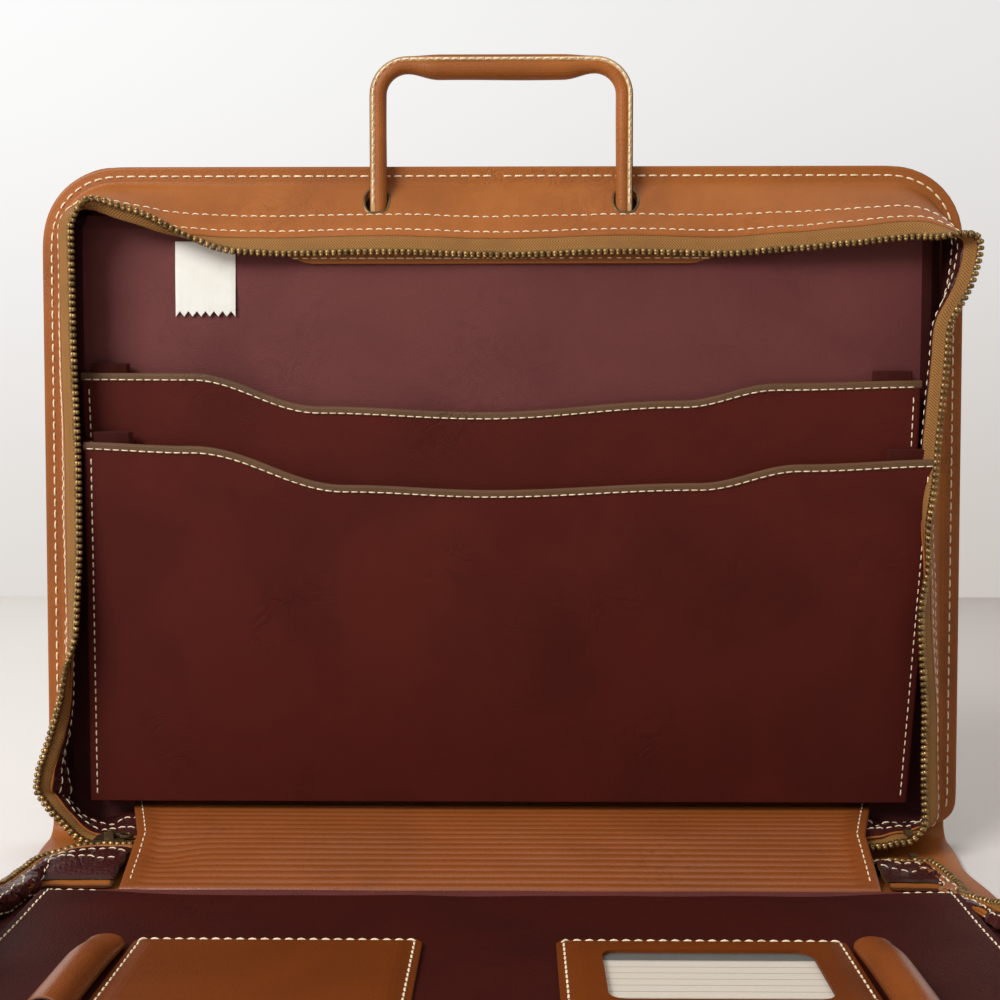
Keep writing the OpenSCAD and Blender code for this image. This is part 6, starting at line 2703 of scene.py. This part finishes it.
class Studio:
    """Pale floor and backdrop, soft light and the camera at the photograph's place.

    The planes are measured in millimetres, lamps and camera in metres and degrees.
    """

    wall_y = 1214.0
    reach = 4000.0
    floor_z = -0.2
    daylight = (1.0, 0.985, 0.96, 1.0)
    daylight_strength = 0.44
    lens, sensor = 52.7, 36.0
    eye = (0.007, -0.437, 0.1816)
    tilt, pan = 87.5, 0.67
    # painted shadow: each pair of colours runs from the lit left to the case's shadow on the right
    floor: tuple[Colour, Colour] = ((0.80, 0.77, 0.745), (0.60, 0.555, 0.525))
    # low and high hold the backdrop's painted shadow at its foot and at its top
    low: tuple[Colour, Colour] = ((0.745, 0.705, 0.67), (0.575, 0.525, 0.485))
    high: tuple[Colour, Colour] = ((0.985, 0.985, 0.985), (0.81, 0.80, 0.79))

    def _sweep(self, graph: Graph, seen: bool) -> Link:
        """Pale colour of the floor, or of the seen backdrop, with a painted shadow that deepens it
        to the right and below.
        """
        x, _, z = graph.parts(graph.place())
        across, up = x.between(-0.8, 0.75), z.between(-0.15, 0.7)
        if not seen:
            return graph.colours(across, *self.floor)
        return graph.colours(up, graph.colours(across, *self.low),
                             graph.colours(across, *self.high))

    def _plane(self, name: str, corners: Sequence[Sequence[float]],
               seen: bool) -> bpy.types.Object:
        """Makes a plane of the studio.

        Args:
            name: its name.
            corners: its corners in millimetres.
            seen: whether the camera and reflections see its colour at full strength.

        Returns:
            The plane.
        """
        made = material(name, lambda graph: Surface(self._sweep(graph, seen), 0.9))
        if seen:
            graph = Graph(made.node_tree)
            shader = made.node_tree.nodes["Principled BSDF"]
            # the backdrop glows with its colour, painted shadow included, for camera, glossy and
            # transmission rays
            path = graph.node("ShaderNodeLightPath")
            shown = (Link(graph, path.outputs["Is Camera Ray"])
                     + Link(graph, path.outputs["Is Glossy Ray"])
                     + Link(graph, path.outputs["Is Transmission Ray"])).maths("MINIMUM", 1.0)
            glow = graph.add("ShaderNodeEmission", None,
                             {"Color": self._sweep(graph, seen), "Strength": 1.0})
            blend = graph.add("ShaderNodeMixShader", None,
                              {0: shown, 1: Link(graph, shader.outputs[0]), 2: glow})
            output = made.node_tree.nodes["Material Output"]
            graph.tree.links.new(blend.socket, output.inputs[0])
        return make_object(name, np.array(corners), [[0, 1, 2, 3]], made)

    def _lamp(self, name: str, place: Sequence[float], aim: Sequence[float], size: float,
              watts: float) -> None:
        """Sets up one soft lamp that looks at a point."""
        lamp = bpy.data.lights.new(name, "AREA")
        lamp.size = size
        lamp.energy = watts
        one = bpy.data.objects.new(name, lamp)
        one.location = place
        one.rotation_euler = (Vector(aim) - Vector(place)).to_track_quat("-Z", "Y").to_euler()
        bpy.context.scene.collection.objects.link(one)

    def build(self) -> None:
        """Makes the floor, the backdrop, the lamps, the world and the camera."""
        reach, low, back = self.reach, self.floor_z, self.wall_y
        floor = self._plane("floor", [(-reach, -reach, low), (reach, -reach, low),
                                      (reach, back, low), (-reach, back, low)], False)
        wall = self._plane("backdrop", [(-reach, back, low), (reach, back, low),
                                        (reach, back, reach), (-reach, back, reach)], True)
        self._lamp("key", (-1.0, -0.95, 1.15), (0, 0.15, 0.12), 0.8, 32.0)
        self._lamp("top", (0.3, 0.2, 1.9), (0, 0.15, 0.1), 1.6, 7.0)
        world = bpy.data.worlds.new("studio")
        world.use_nodes = True
        ground = world.node_tree.nodes["Background"]
        ground.inputs["Color"].default_value = self.daylight
        ground.inputs["Strength"].default_value = self.daylight_strength
        scene = bpy.context.scene
        scene.world = world
        scene.view_settings.view_transform = "Standard"
        camera = bpy.data.cameras.new("camera")
        camera.lens, camera.sensor_width = self.lens, self.sensor
        camera.sensor_fit = "HORIZONTAL"
        camera.clip_start = 0.01
        eye = bpy.data.objects.new("camera", camera)
        eye.location = self.eye
        eye.rotation_euler = (math.radians(self.tilt), 0, math.radians(self.pan))
        scene.collection.objects.link(eye)
        scene.camera = eye
        LOG.info("studio: floor, backdrop, two lamps and the camera")


def standing_pockets(shop: Workshop) -> list[Pocket]:
    """The rear and the front pocket of the standing half."""
    rear = Slope(Half.STANDING, foot_y=21.0, foot_z=9.28, top_y=208.0, top_z=21.15)
    front = Slope(Half.STANDING, foot_y=21.0, foot_z=16.68, top_y=179.0, top_z=29.45)
    rear_edge = ((-182, 208), (-133, 207.8), (-78, 193.6), (-7, 191.1), (78, 196), (118, 203.3),
                 (182, 204.6))
    front_edge = ((-184, 178.7), (-131, 176.8), (-66, 160.2), (-5, 158), (84, 161), (127, 169),
                  (188, 171.2))
    return [Pocket(shop, "rear_pocket", rear, rear_edge, foot=(-178, 176), top=(-180, 179.5),
                   puff=0.8),
            Pocket(shop, "front_pocket", front, front_edge, foot=(-179.5, 176.5),
                   top=(-177, 184), puff=1.4)]


def main() -> None:
    """Builds the case piece by piece."""
    logging.basicConfig(level=logging.INFO, format="%(name)s: %(message)s")
    Studio().build()
    shop = Workshop()
    Shell(shop).build()
    walls = Walls(shop).build()
    for pocket in standing_pockets(shop):
        pocket.build()
    Linings(shop).build()
    SpineLiner(shop).build()
    for half in Half:
        Handle(shop, half).build(walls[half])
    DocumentPocket(shop).build()
    Fittings(shop).build()


if __name__ == "__main__":
    main()
